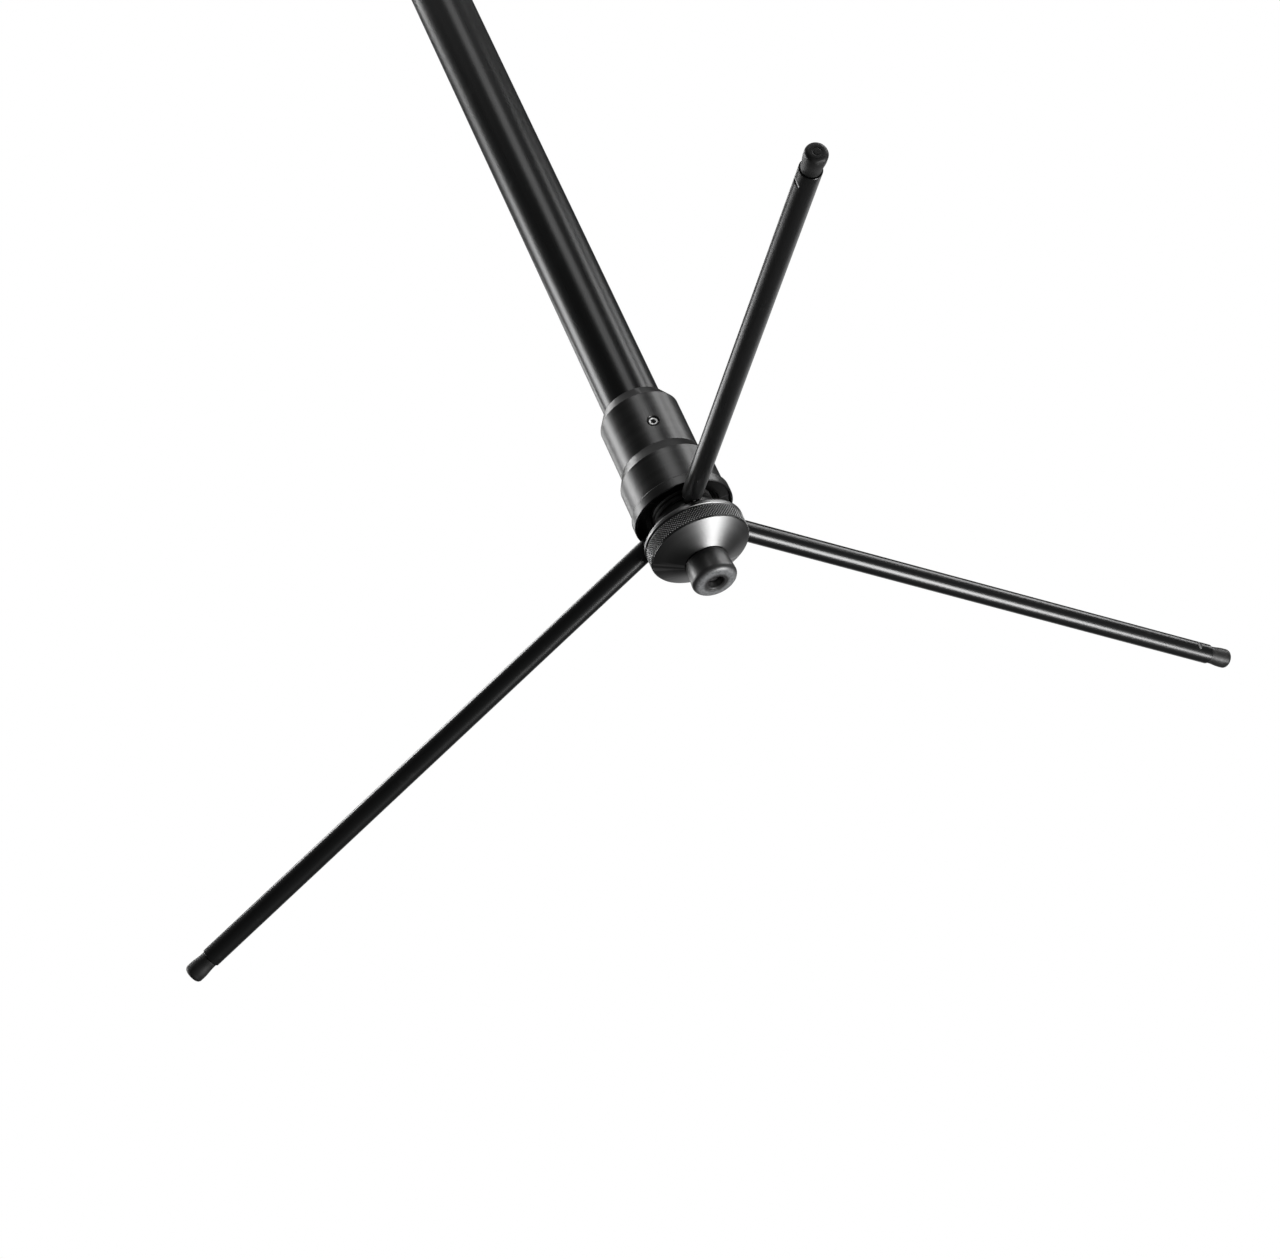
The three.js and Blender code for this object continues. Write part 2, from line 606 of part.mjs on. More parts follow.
/** Flat-headed rivet along Y, its head in front of the given face. */
function rivet([x, z], face, back) {
  const headBack = face - GAP;
  return alongY(turned([
    p(0, headBack - RIVET_HEAD), p(RIVET_HEAD_R - 0.7, headBack - RIVET_HEAD),
    p(RIVET_HEAD_R, headBack - RIVET_HEAD / 3), p(RIVET_HEAD_R, headBack), p(RIVET_R, headBack),
    p(RIVET_R, back), p(0, back),
  ], RIVET_SIDES)).translate(x, 0, z);
}

function deskBracket() {
  const web = extrudeY(
    roundedRectangle(-WEB_WIDTH / 2, WEB_WIDTH / 2, -WEB_HEIGHT / 2, WEB_HEIGHT / 2, 8),
    -DESK_OFFSET,
    webBack,
  );
  const outline = new THREE.Shape();
  outline.moveTo(webBack - 1, -CHEEK_HEIGHT / 2);
  outline.lineTo(webBack + 4, -CHEEK_HEIGHT / 2);
  outline.lineTo(0, -TONGUE_R);
  outline.absarc(0, 0, TONGUE_R, -Math.PI / 2, Math.PI / 2, false);
  outline.lineTo(webBack + 4, CHEEK_HEIGHT / 2);
  outline.lineTo(webBack - 1, CHEEK_HEIGHT / 2);
  outline.closePath();
  const cheeks = [extrudeX(outline, cheekX, cheekOuterX), extrudeX(outline, -cheekOuterX, -cheekX)];
  const boltHole = alongX(rodAlongZ(TILT_BOLT_R + GAP, -2 * cheekOuterX, 2 * cheekOuterX));
  return cut(join(web, ...cheeks), boltHole, ...rivetPlaces.map(rivetHole));
}

function deskPlate() {
  const shape = roundedRectangle(
    -DESK_WIDTH / 2, DESK_WIDTH / 2, -DESK_BELOW_AXIS, DESK_ABOVE_AXIS, DESK_CORNER,
  );
  const half = SLOT_WIDTH / 2;
  for (const row of SLOT_ROWS) {
    for (let column = 0; column < SLOT_COLUMNS; column += 1) {
      const x = (column - (SLOT_COLUMNS - 1) / 2) * SLOT_PITCH_X;
      const reach = SLOT_LENGTH / 2;
      shape.holes.push(roundedRectangle(x - half, x + half, row - reach, row + reach, half - 0.01));
    }
  }
  const plate = extrudeY(shape, plateFront, plateBack, 3);
  return cut(plate, ...[...rivetPlaces, ...ledgeRivetPlaces].map(rivetHole));
}

/** Bent-sheet ledge: a flange on the plate's face, the shelf, and a small upturned lip. */
function deskLedge() {
  const bottom = -DESK_BELOW_AXIS;
  const lipFront = flangeBack - SHEET - LEDGE_DEPTH;
  const profile = new THREE.Shape([
    p(flangeBack, bottom), p(flangeBack, bottom + LEDGE_FLANGE), p(flangeBack - SHEET, bottom + LEDGE_FLANGE),
    p(flangeBack - SHEET, bottom + SHEET), p(lipFront + SHEET, bottom + SHEET),
    p(lipFront + SHEET, bottom + LEDGE_LIP), p(lipFront, bottom + LEDGE_LIP), p(lipFront, bottom),
  ]);
  const inset = DESK_CORNER;
  const ledge = extrudeX(profile, inset - DESK_WIDTH / 2, DESK_WIDTH / 2 - inset);
  return cut(ledge, ...ledgeRivetPlaces.map(rivetHole));
}

// ---------------------------------------------------------------- assembly

add(stand, 'lower_tube', lowerTube(), anodised());
add(stand, 'hub_body', hubBody(), turnedBlack());
const hubGrub = add(stand, 'hub_grub_screw', grubScrew(socketR, collarR - GRUB_SUNK), steel());
hubGrub.position.z = hubTopZ - HUB_GRUB_BELOW_TOP;
hubGrub.rotation.z = GRUB_AZIMUTH;
add(stand, 'hinge_ring', hingeRing(), turnedBlack());
add(stand, 'clamp_nut', clampNut(), turnedBlack());
add(stand, 'rubber_tip', rubberTip(), rubber());
add(stand, 'tip_screw', tipScrew(), steel());

LEG_AZIMUTHS.forEach((azimuth, i) => {
  const leg = new THREE.Group();
  leg.rotation.z = azimuth;
  stand.add(leg);
  add(leg, `leg_rod_${i + 1}`, legRod(), anodised());
  add(leg, `hinge_pin_${i + 1}`, hingePin(), steel());
  add(leg, `foot_${i + 1}`, foot(), rubber());
});

add(stand, 'clutch_body', clutchBody(), turnedBlack());
const clutchGrub = add(stand, 'clutch_grub_screw', grubScrew(socketR, clutchR - GRUB_SUNK), steel());
clutchGrub.position.z = clutchGrubZ;
clutchGrub.rotation.z = GRUB_AZIMUTH;
add(stand, 'clutch_pad', clutchPad(), nylon());
add(stand, 'clutch_knob', clutchKnob(), turnedBlack());
add(stand, 'upper_shaft', upperShaft(), anodised());
add(stand, 'shaft_plug', shaftPlug(), nylon());
add(stand, 'tilt_head', tiltHead(), turnedBlack());

const tilter = new THREE.Group();
tilter.position.z = tiltZ;
stand.add(tilter);
add(tilter, 'tilt_washer_1', tiltWasher(), nylon());
const otherWasher = add(tilter, 'tilt_washer_2', tiltWasher(), nylon());
otherWasher.rotation.z = Math.PI;
add(tilter, 'tilt_bolt', tiltBolt(), steel());
add(tilter, 'tilt_knob', tiltKnob(), turnedBlack());

const desk = new THREE.Group();
desk.rotation.x = -DESK_TILT;
tilter.add(desk);
add(desk, 'desk_bracket', deskBracket(), powderCoat());
add(desk, 'desk_plate', deskPlate(), powderCoat());
add(desk, 'desk_ledge', deskLedge(), powderCoat());
rivetPlaces.forEach((place, i) => {
  add(desk, `bracket_rivet_${i + 1}`, rivet(place, plateFront, webBack), turnedBlack());
});
ledgeRivetPlaces.forEach((place, i) => {
  add(desk, `ledge_rivet_${i + 1}`, rivet(place, flangeBack - SHEET, plateBack), turnedBlack());
});

export default stand;
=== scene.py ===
"""Looks of a folding music stand: turned hub, three hinged legs, telescoping pole and a sheet-metal desk.

Metres, +Z up, origin on the floor under the pole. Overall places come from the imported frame; the smaller
steps of each turned or bent piece are named values here, in millimetres times MM.
"""

import math

import bmesh
import bpy
from mathutils import Matrix, Vector


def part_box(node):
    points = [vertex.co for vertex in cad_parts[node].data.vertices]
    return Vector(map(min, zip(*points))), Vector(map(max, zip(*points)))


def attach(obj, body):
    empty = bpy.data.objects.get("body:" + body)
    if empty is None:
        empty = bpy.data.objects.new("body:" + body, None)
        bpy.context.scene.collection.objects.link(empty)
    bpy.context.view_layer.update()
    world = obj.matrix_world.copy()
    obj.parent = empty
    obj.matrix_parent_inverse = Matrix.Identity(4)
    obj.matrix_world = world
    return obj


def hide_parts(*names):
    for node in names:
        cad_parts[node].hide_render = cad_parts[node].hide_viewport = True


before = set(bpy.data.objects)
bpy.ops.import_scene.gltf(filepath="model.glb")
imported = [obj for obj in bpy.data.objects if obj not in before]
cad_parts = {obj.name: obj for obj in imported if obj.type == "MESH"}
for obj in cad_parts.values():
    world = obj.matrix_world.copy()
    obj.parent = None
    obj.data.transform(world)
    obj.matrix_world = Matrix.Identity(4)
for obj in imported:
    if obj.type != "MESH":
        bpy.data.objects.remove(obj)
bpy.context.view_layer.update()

MM = 0.001
GAP = 0.3 * MM
SIDES = 144  # of a large turned piece
ROD_SIDES = 64
SMALL_SIDES = 40

# Camera, from where the three legs' axes meet on the pole
CAMERA_DISTANCE = 1.2625
CAMERA_AZIMUTH = math.radians(12.45)
CAMERA_ELEVATION = math.radians(-33.84)
CAMERA_HEADING = math.radians(-165.734)
CAMERA_PITCH = math.radians(32.361)
CAMERA_ROLL = math.radians(24.262)
CAMERA_LENS = 93.56
CAMERA_SENSOR = 36.0

# Legs
LEG_SLOPE = math.radians(13.17)
ROD_R = 4.0 * MM
ROD_LENGTH = 231.92 * MM  # hinge pin to outer end
ROD_BORE_R = 3.2 * MM
ROD_BORE_DEPTH = 14 * MM
LUG_THICK = 2.4 * MM
LUG_WIDTH = 4.0 * MM
PIN_HOLE_R = 1.15 * MM
CRIMP_R = 1.2 * MM
CRIMP_FROM_END = 6.5 * MM
CRIMP_AXIS_OUT = 0.65 * MM  # beyond the rod's surface, which leaves a groove 0.55 mm deep
FOOT_LENGTH = 10.2 * MM
FOOT_NECK_R = 3.5 * MM
FOOT_R = 3.95 * MM
FOOT_FLARE_FROM = 1.2 * MM
FOOT_FLARE_LENGTH = 5.8 * MM
FOOT_STEM_LENGTH = 13 * MM

STUD_R = 12.2 * MM  # of the clamp nut's threaded stud
RING_HEIGHT = 4.2 * MM
DESK_TILT = math.radians(20)


# ---------------------------------------------------------------- places taken from the frame

def centre(node):
    low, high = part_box(node)
    return (low + high) / 2


def turned_radius(node):
    """Radius of a piece turned about the pole's axis; the wider side of its box, as its facets allow."""
    low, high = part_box(node)
    return max(high.x - low.x, high.y - low.y) / 2


def bottom(node):
    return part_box(node)[0].z


def top(node):
    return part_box(node)[1].z


ALONG_X = Matrix.Rotation(math.pi / 2, 4, "Y")  # a piece turned about +Z, laid along +X
FACING_Y = Matrix.Rotation(math.pi / 2, 4, "X")  # an outline of (across, height), thick along Y
FACING_X = Matrix(((0, 0, 1, 0), (1, 0, 0, 0), (0, 1, 0, 0), (0, 0, 0, 1)))  # (depth, height), thick along X

pin_centre = centre("hinge_pin_1")
hinge_r = math.hypot(pin_centre.x, pin_centre.y)
hinge_z = pin_centre.z
crossing = Vector((0, 0, hinge_z + hinge_r * math.tan(LEG_SLOPE)))
ring_z = bottom("hub_body") - GAP - RING_HEIGHT
tilt_z = centre("tilt_washer_1").z
turned_knob_r = {name: (top(name) - bottom(name)) / 2 for name in ("clutch_knob", "tilt_knob")}
desk_place = Matrix.Translation((0, 0, tilt_z)) @ Matrix.Rotation(-DESK_TILT, 4, "X")


def up(z):
    return Matrix.Translation((0, 0, z))


def leg_place(i):
    """The leg's own frame: +X outwards along the rod from the hinge pin."""
    pin = centre(f"hinge_pin_{i}")
    turn = Matrix.Rotation(math.atan2(pin.y, pin.x), 4, "Z")
    return turn @ Matrix.Translation((hinge_r, 0, hinge_z)) @ Matrix.Rotation(LEG_SLOPE, 4, "Y")


# ---------------------------------------------------------------- material nodes

class Nodes:
    """A material's node tree, with short calls for the few kinds of node used here."""

    def __init__(self, name):
        self.material = bpy.data.materials.new(name)
        self.material.use_nodes = True
        self.tree = self.material.node_tree
        self.shader = self.tree.nodes["Principled BSDF"]
        self.output = self.tree.nodes["Material Output"]
        self.local = self.add("ShaderNodeTexCoord").outputs["Object"]

    def add(self, kind, **settings):
        node = self.tree.nodes.new(kind)
        for key, value in settings.items():
            setattr(node, key, value)
        return node

    def feed(self, socket, value):
        if isinstance(value, bpy.types.NodeSocket):
            self.tree.links.new(value, socket)
        else:
            socket.default_value = value

    def math(self, operation, a, b=0.0, clamp=False):
        node = self.add("ShaderNodeMath", operation=operation, use_clamp=clamp)
        self.feed(node.inputs[0], a)
        self.feed(node.inputs[1], b)
        return node.outputs[0]

    def vector(self, operation, a, b=(0, 0, 0), output="Vector"):
        node = self.add("ShaderNodeVectorMath", operation=operation)
        self.feed(node.inputs[0], a)
        self.feed(node.inputs[1], b)
        return node.outputs[output]

    def noise(self, vector, scale, detail=3.0, roughness=0.55):
        node = self.add("ShaderNodeTexNoise")
        self.feed(node.inputs["Vector"], vector)
        node.inputs["Scale"].default_value = scale
        node.inputs["Detail"].default_value = detail
        node.inputs["Roughness"].default_value = roughness
        return node.outputs["Fac"]

    def span(self, value, low, high, to_low=0.0, to_high=1.0):
        node = self.add("ShaderNodeMapRange")
        self.feed(node.inputs["Value"], value)
        for key, number in (("From Min", low), ("From Max", high), ("To Min", to_low), ("To Max", to_high)):
            node.inputs[key].default_value = number
        return node.outputs["Result"]

    def mix(self, factor, a, b):
        node = self.add("ShaderNodeMix", data_type="RGBA")
        self.feed(node.inputs["Factor"], factor)
        self.feed(node.inputs["A"], a)
        self.feed(node.inputs["B"], b)
        return node.outputs["Result"]

    def along(self):
        """Height along the piece's own turning axis."""
        node = self.add("ShaderNodeSeparateXYZ")
        self.feed(node.inputs[0], self.local)
        return node.outputs["Z"]

    def radius(self):
        flat = self.vector("MULTIPLY", self.local, (1, 1, 0))
        return self.vector("LENGTH", flat, output="Value")

    def profile_vector(self):
        """A vector that changes only along the turned profile, for tool marks that run round the piece."""
        node = self.add("ShaderNodeCombineXYZ")
        self.feed(node.inputs["X"], self.radius())
        self.feed(node.inputs["Y"], self.along())
        return node.outputs[0]

    def bump(self, height, distance, strength=1.0):
        node = self.add("ShaderNodeBump")
        node.inputs["Strength"].default_value = strength
        node.inputs["Distance"].default_value = distance
        self.feed(node.inputs["Height"], height)
        self.feed(self.shader.inputs["Normal"], node.outputs["Normal"])

    def finish(self, color, roughness, metallic=0.0, specular=0.5, coat=0.0, coat_roughness=0.1):
        shader = self.shader
        self.feed(shader.inputs["Base Color"], color)
        self.feed(shader.inputs["Roughness"], roughness)
        shader.inputs["Metallic"].default_value = metallic
        shader.inputs["Specular IOR Level"].default_value = specular
        shader.inputs["Coat Weight"].default_value = coat
        shader.inputs["Coat Roughness"].default_value = coat_roughness
        return self.material


def grey(value, warmth=0.0):
    return (value * (1 + warmth), value, value * (1 - warmth), 1.0)


def anodised_black(name, specular):
    """Drawn and anodised tube: faint lengthwise streaks, a soft sheen and a few rubbed patches."""
    n = Nodes(name)
    streaks = n.noise(n.vector("MULTIPLY", n.local, (1, 1, 0.02)), 2600, 4)
    cloud = n.noise(n.local, 45, 4)
    rubbed = n.span(n.noise(n.local, 160, 5, 0.65), 0.60, 0.78)
    tone = n.mix(cloud, grey(0.0045, -0.03), grey(0.0085, -0.03))
    tone = n.mix(n.math("MULTIPLY", rubbed, 0.30), tone, grey(0.030))
    n.bump(streaks, 0.00001, 0.12)
    shine = n.math("ADD", n.span(streaks, 0.3, 0.7, 0.27, 0.31), n.math("MULTIPLY", rubbed, 0.06))
    return n.finish(tone, shine, specular=specular)


def turned_black(name, level):
    """Lathe-turned and blackened: fine tool marks round the piece and slightly brighter burnished rings."""
    n = Nodes(name)
    marks = n.noise(n.profile_vector(), 5200, 2, 0.5)
    broad = n.noise(n.profile_vector(), 420, 3)
    cloud = n.noise(n.local, 70, 4)
    tone = n.mix(cloud, grey(0.87 * level), grey(1.12 * level))
    tone = n.mix(n.math("MULTIPLY", n.span(broad, 0.45, 0.75), 0.5), tone, grey(1.37 * level))
    edge = n.span(n.add("ShaderNodeNewGeometry").outputs["Pointiness"], 0.53, 0.62)
    tone = n.mix(edge, tone, grey(2.8 * level))
    n.bump(marks, 0.00001, 0.16)
    return n.finish(tone, n.span(broad, 0.3, 0.7, 0.35, 0.39), metallic=1.0)


def knurled_black(name, crest):
    """A knurled band, its colour painted dark in the grooves as painted shade and bright on the peaks, which
    reach the crest radius; the bright peaks are partly rubbed wear and partly painted highlight.
    """
    n = Nodes(name)
    # 0 in the grooves, where shade is painted, rising to 1 on the peaks
    height = n.span(n.radius(), crest - 0.25 * MM, crest - 0.06 * MM)
    peak_wear_and_highlight = n.math("MULTIPLY", height, n.span(n.noise(n.local, 150, 3), 0.25, 0.60, 0.65, 1.0))
    # painted shade in the grooves; rubbed wear and painted highlight on the peaks
    tone = n.mix(peak_wear_and_highlight, grey(0.03), grey(0.80))
    return n.finish(tone, n.span(n.noise(n.local, 700, 3), 0.3, 0.7, 0.36, 0.46), metallic=0.45)


def black_steel():
    """Blackened steel of the screws and pins, worn to grey at the edges."""
    n = Nodes("black_steel")
    edge = n.span(n.add("ShaderNodeNewGeometry").outputs["Pointiness"], 0.50, 0.60)
    tone = n.mix(n.noise(n.local, 900, 3), grey(0.22), grey(0.34))
    tone = n.mix(edge, tone, grey(0.62))
    n.bump(n.noise(n.profile_vector(), 3800, 2), 0.00002, 0.3)
    return n.finish(tone, n.span(n.noise(n.local, 500, 3), 0.3, 0.7, 0.26, 0.38), metallic=1.0)


def black_rubber():
    """Moulded rubber of the feet, with dusty scuffs."""
    n = Nodes("black_rubber")
    dust = n.span(n.noise(n.local, 420, 5, 0.7), 0.56, 0.74)
    tone = n.mix(n.noise(n.local, 130, 3), grey(0.008), grey(0.016))
    tone = n.mix(n.math("MULTIPLY", dust, 0.35), tone, grey(0.045, 0.02))
    n.bump(n.noise(n.local, 2600, 4, 0.6), 0.00003, 0.25)
    return n.finish(tone, n.span(n.noise(n.local, 300, 3), 0.3, 0.7, 0.42, 0.58), specular=0.45)


def rubber_scuffed_painted_highlight(end_z):
    """Rubber of the tip, a ring on its floor face and rounded end painted grey as a painted highlight, broken
    up by scuff marks.
    """
    n = Nodes("rubber_scuffed_painted_highlight")
    scuff = n.noise(n.local, 1100, 5, 0.7)
    face = n.span(n.along(), end_z + 2.2 * MM, end_z + 0.5 * MM)
    inside = n.span(n.radius(), 4.4 * MM, 5.6 * MM)
    outside = n.span(n.radius(), 8.6 * MM, 7.2 * MM)
    # the ring that carries the painted highlight
    rim = n.math("MULTIPLY", face, n.math("MULTIPLY", inside, outside))
    scuffed_painted_highlight = n.math("MULTIPLY", rim, n.span(scuff, 0.30, 0.62, 0.35, 1.0), clamp=True)
    tone = n.mix(n.noise(n.local, 160, 3), grey(0.020), grey(0.034))
    # painted highlight, broken up by scuffs, mixed into the rubber's colour
    tone = n.mix(scuffed_painted_highlight, tone, grey(0.22, -0.02))
    n.bump(scuff, 0.00006, 0.4)
    return n.finish(tone, n.span(scuff, 0.3, 0.7, 0.34, 0.46), specular=0.75)


def black_nylon():
    """Moulded washers and guide plug: waxy, faintly mottled."""
    n = Nodes("black_nylon")
    tone = n.mix(n.noise(n.local, 240, 4), grey(0.026), grey(0.040))
    n.bump(n.noise(n.local, 1500, 3), 0.00004, 0.3)
    return n.finish(tone, n.span(n.noise(n.local, 400, 3), 0.3, 0.7, 0.40, 0.52), specular=0.5)


def powder_coat():
    """Black powder coat on the desk: orange-peel ripple, fine sparkle and light handling marks."""
    n = Nodes("desk_black")
    peel = n.noise(n.local, 900, 3, 0.6)
    smear = n.span(n.noise(n.local, 22, 5, 0.6), 0.42, 0.70)
    tone = n.mix(n.noise(n.local, 60, 4), grey(0.012), grey(0.019))
    tone = n.mix(n.math("MULTIPLY", n.span(n.noise(n.local, 4200, 2), 0.62, 0.75), 0.5), tone, grey(0.05))
    n.bump(peel, 0.00012, 0.45)
    shine = n.math("ADD", n.span(peel, 0.3, 0.7, 0.36, 0.44), n.math("MULTIPLY", smear, 0.08))
    return n.finish(tone, shine, specular=0.5)


# ---------------------------------------------------------------- mesh building

def new_object(name, mesh, material, place=Matrix.Identity(4)):
    piece = bpy.data.objects.new(name, mesh)
    bpy.context.scene.collection.objects.link(piece)
    mesh.materials.clear()
    mesh.materials.append(material)
    piece.matrix_world = place
    return piece


def from_bmesh(name, bm, material, place=Matrix.Identity(4), smooth=True):
    bmesh.ops.recalc_face_normals(bm, faces=bm.faces[:])
    mesh = bpy.data.meshes.new(name)
    bm.to_mesh(mesh)
    bm.free()
    piece = new_object(name, mesh, material, place)
    return smoothed(piece) if smooth else piece


def smoothed(piece, angle=32):
    """Smooth shading with real edges kept, and normals that follow the large faces."""
    piece.data.shade_smooth()
    piece.data.set_sharp_from_angle(angle=math.radians(angle))
    weighted = piece.modifiers.new("normals", "WEIGHTED_NORMAL")
    weighted.keep_sharp = True
    return piece


def rounded(points, radius, closed, steps=4):
    """The points of a profile with every corner turned into a small arc."""
    result = []
    count = len(points)
    for i, here in enumerate(points):
        if not closed and i in (0, count - 1):
            result.append(here)
            continue
        before = Vector(points[i - 1])
        after = Vector(points[(i + 1) % count])
        corner = Vector(here)
        back = before - corner
        ahead = after - corner
        angle = back.angle(ahead)
        if angle > math.radians(172):
            result.append(here)
            continue
        reach = min(radius / math.tan(angle / 2), 0.42 * back.length, 0.42 * ahead.length)
        start = corner + back.normalized() * reach
        end = corner + ahead.normalized() * reach
        for k in range(steps + 1):
            t = k / steps
            result.append(tuple(start * (1 - t) ** 2 + corner * 2 * t * (1 - t) + end * t ** 2))
    return result


def arc(x, y, radius, start, end, steps=8):
    """Points of an arc about (x, y), between two angles in degrees."""
    angles = [math.radians(start + (end - start) * k / steps) for k in range(steps + 1)]
    return [(x + radius * math.cos(a), y + radius * math.sin(a)) for a in angles]


def revolve(profile, sides, closed):
    bm = bmesh.new()
    rings = []
    for radius, height in profile:
        if radius < 1e-7:
            rings.append([bm.verts.new((0, 0, height))])
            continue
        angles = [math.tau * k / sides for k in range(sides)]
        rings.append([bm.verts.new((radius * math.cos(a), radius * math.sin(a), height)) for a in angles])
    pairs = list(zip(rings, rings[1:]))
    if closed:
        pairs.append((rings[-1], rings[0]))
    for lower, upper in pairs:
        for k in range(sides):
            corners = [lower[k % len(lower)], lower[(k + 1) % sides % len(lower)],
                       upper[(k + 1) % sides % len(upper)], upper[k % len(upper)]]
            corners = list(dict.fromkeys(corners))
            if len(corners) > 2:
                bm.faces.new(corners)
    return bm


def turned(name, profile, material, place=Matrix.Identity(4), sides=SIDES, edge=0.25 * MM, closed=False):
    """A solid turned about its own +Z from (radius, height) points, its edges broken by small rounds."""
    bm = revolve(rounded(profile, edge, closed), sides, closed)
    return from_bmesh(name, bm, material, place)


def knurl(name, crest, depth, low, high, count, material, place=Matrix.Identity(4), inner=1.5 * MM):
    """A ring with a diamond knurl outside: count grooves each way, crossing at pits between square peaks."""
    columns = 2 * count
    pitch = math.tau * crest / columns
    rows = 2 * max(2, round((high - low) / pitch / 2))
    bm = bmesh.new()

    def ring(radius_at, height):
        result = []
        for k in range(columns):
            a = math.tau * k / columns
            r = radius_at(k)
            result.append(bm.verts.new((r * math.cos(a), r * math.sin(a), height)))
        return result

    outer = []
    for j in range(rows + 1):
        def radius_at(k, j=j):
            peak = (k + j) % 2 == 1 and 0 < j < rows
            return crest if peak else crest - depth
        outer.append(ring(radius_at, low + (high - low) * j / rows))
    inside = [ring(lambda k: crest - inner, z) for z in (low, high)]
    for j in range(rows):
        for k in range(columns):
            m = (k + 1) % columns
            a, b, c, d = outer[j][k], outer[j][m], outer[j + 1][m], outer[j + 1][k]
            if (k + j) % 2 == 0:
                bm.faces.new((a, b, c))
                bm.faces.new((a, c, d))
            else:
                bm.faces.new((a, b, d))
                bm.faces.new((b, c, d))
    for k in range(columns):
        m = (k + 1) % columns
        bm.faces.new((inside[0][k], inside[0][m], outer[0][m], outer[0][k]))
        bm.faces.new((outer[-1][k], outer[-1][m], inside[1][m], inside[1][k]))
        bm.faces.new((inside[1][k], inside[1][m], inside[0][m], inside[0][k]))
    return from_bmesh(name, bm, material, place, smooth=False)


def screw_thread(name, root, crest, low, high, pitch, material, steps=72):
    """A helical ridge with closed ends, about its own +Z."""
    bm = bmesh.new()
    section = ((root, -0.46), (crest, -0.10), (crest, 0.10), (root, 0.46))
    count = int((high - low - pitch) / pitch * steps)
    rings = []
    for k in range(count + 1):
        a = math.tau * k / steps
        z = low + pitch / 2 + pitch * k / steps
        rings.append([bm.verts.new((r * math.cos(a), r * math.sin(a), z + pitch * s)) for r, s in section])
    for one, two in zip(rings, rings[1:]):
        for i in range(4):
            j = (i + 1) % 4
            bm.faces.new((one[i], one[j], two[j], two[i]))
    bm.faces.new(rings[0])
    bm.faces.new(list(reversed(rings[-1])))
    return from_bmesh(name, bm, material)


def evaluated_mesh(piece):
    bpy.context.view_layer.update()
    depsgraph = bpy.context.evaluated_depsgraph_get()
    return bpy.data.meshes.new_from_object(piece.evaluated_get(depsgraph))


def carve(piece, *cutters, angle=32):
    """Cuts the cutters' shapes out of the piece and removes them."""
    piece.modifiers.clear()
    for cutter in cutters:
        cutter.modifiers.clear()
        cut = piece.modifiers.new("cut", "BOOLEAN")
        cut.object = cutter
        cut.operation = "DIFFERENCE"
        cut.solver = "EXACT"
    mesh = evaluated_mesh(piece)
    piece.modifiers.clear()
    piece.data = mesh
    for cutter in cutters:
        bpy.data.objects.remove(cutter)
    return smoothed(piece, angle)


def plate(name, outlines, thickness, material, place, edge=0.35 * MM):
    """A flat plate: its outer outline, then its holes, with its edges rounded over."""
    curve = bpy.data.curves.new(name, "CURVE")
    curve.dimensions = "2D"
    curve.fill_mode = "BOTH"
    curve.extrude = thickness / 2 - edge
    curve.bevel_depth = edge
    curve.bevel_resolution = 2
    curve.offset = -edge
    for outline in outlines:
        spline = curve.splines.new("POLY")
        spline.points.add(len(outline) - 1)
        for point, (x, y) in zip(spline.points, outline):
            point.co = (x, y, 0, 1)
        spline.use_cyclic_u = True
    holder = bpy.data.objects.new(name + "_outline", curve)
    bpy.context.scene.collection.objects.link(holder)
    mesh = evaluated_mesh(holder)
    bpy.data.objects.remove(holder)
    bm = bmesh.new()
    bm.from_mesh(mesh)
    bmesh.ops.remove_doubles(bm, verts=bm.verts[:], dist=1e-6)
    return from_bmesh(name, bm, material, place)


def bar(name, outline, length, material, place):
    """A closed outline extruded both ways along its own Z, with bevelled ends."""
    bm = bmesh.new()
    ends = [[bm.verts.new((x, y, z)) for x, y in outline] for z in (-length / 2, length / 2)]
    count = len(outline)
    for i in range(count):
        j = (i + 1) % count
        bm.faces.new((ends[0][i], ends[0][j], ends[1][j], ends[1][i]))
    bm.faces.new(ends[0])
    bm.faces.new(list(reversed(ends[1])))
    piece = from_bmesh(name, bm, material, place, smooth=False)
    bevel = piece.modifiers.new("edges", "BEVEL")
    bevel.width = 0.3 * MM
    bevel.segments = 3
    bevel.limit_method = "ANGLE"
    bevel.angle_limit = math.radians(40)
    return smoothed(piece)


def rounded_rectangle(x0, x1, y0, y1, radius, steps=10):
    points = []
    for x, y, start in ((x1, y0, -90), (x1, y1, 0), (x0, y1, 90), (x0, y0, 180)):
        cx = x - radius if x == x1 else x + radius
        cy = y - radius if y == y1 else y + radius
        points += arc(cx, cy, radius, start, start + 90, steps)
    return points


def hex_cutter(across, low, high, place):
    """A hexagonal prism along its own Z, for a key socket."""
    bm = revolve([(0, low), (across / math.sqrt(3), low), (across / math.sqrt(3), high), (0, high)], 6, False)
    return from_bmesh("hex_cutter", bm, METAL["steel"], place, smooth=False)


def round_cutter(radius, low, high, place, sides=SMALL_SIDES):
    bm = revolve([(0, low), (radius, low), (radius, high), (0, high)], sides, False)
    return from_bmesh("round_cutter", bm, METAL["steel"], place, smooth=False)


def finished(piece, body, slot, *nodes):
    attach(piece, body)
    if nodes:
        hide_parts(*nodes)
    return piece


METAL = {
    "tube": anodised_black("tube_anodised", 0.30),
    "rod": anodised_black("rod_anodised", 0.50),
    "turned": turned_black("hub_turned", 0.06),
    "nut": turned_black("nut_turned", 0.12),
    "steel": black_steel(),
    "rubber": black_rubber(),
    "tip": rubber_scuffed_painted_highlight(bottom("rubber_tip")),
    "nylon": black_nylon(),
    "desk": powder_coat(),
}


# ---------------------------------------------------------------- hub and hinge ring

def screw_axis(node, azimuth=29):
    """A frame on the pole's axis at the screw's height, its +Z pointing out along the screw."""
    return up(centre(node).z) @ Matrix.Rotation(math.radians(azimuth), 4, "Z") @ ALONG_X


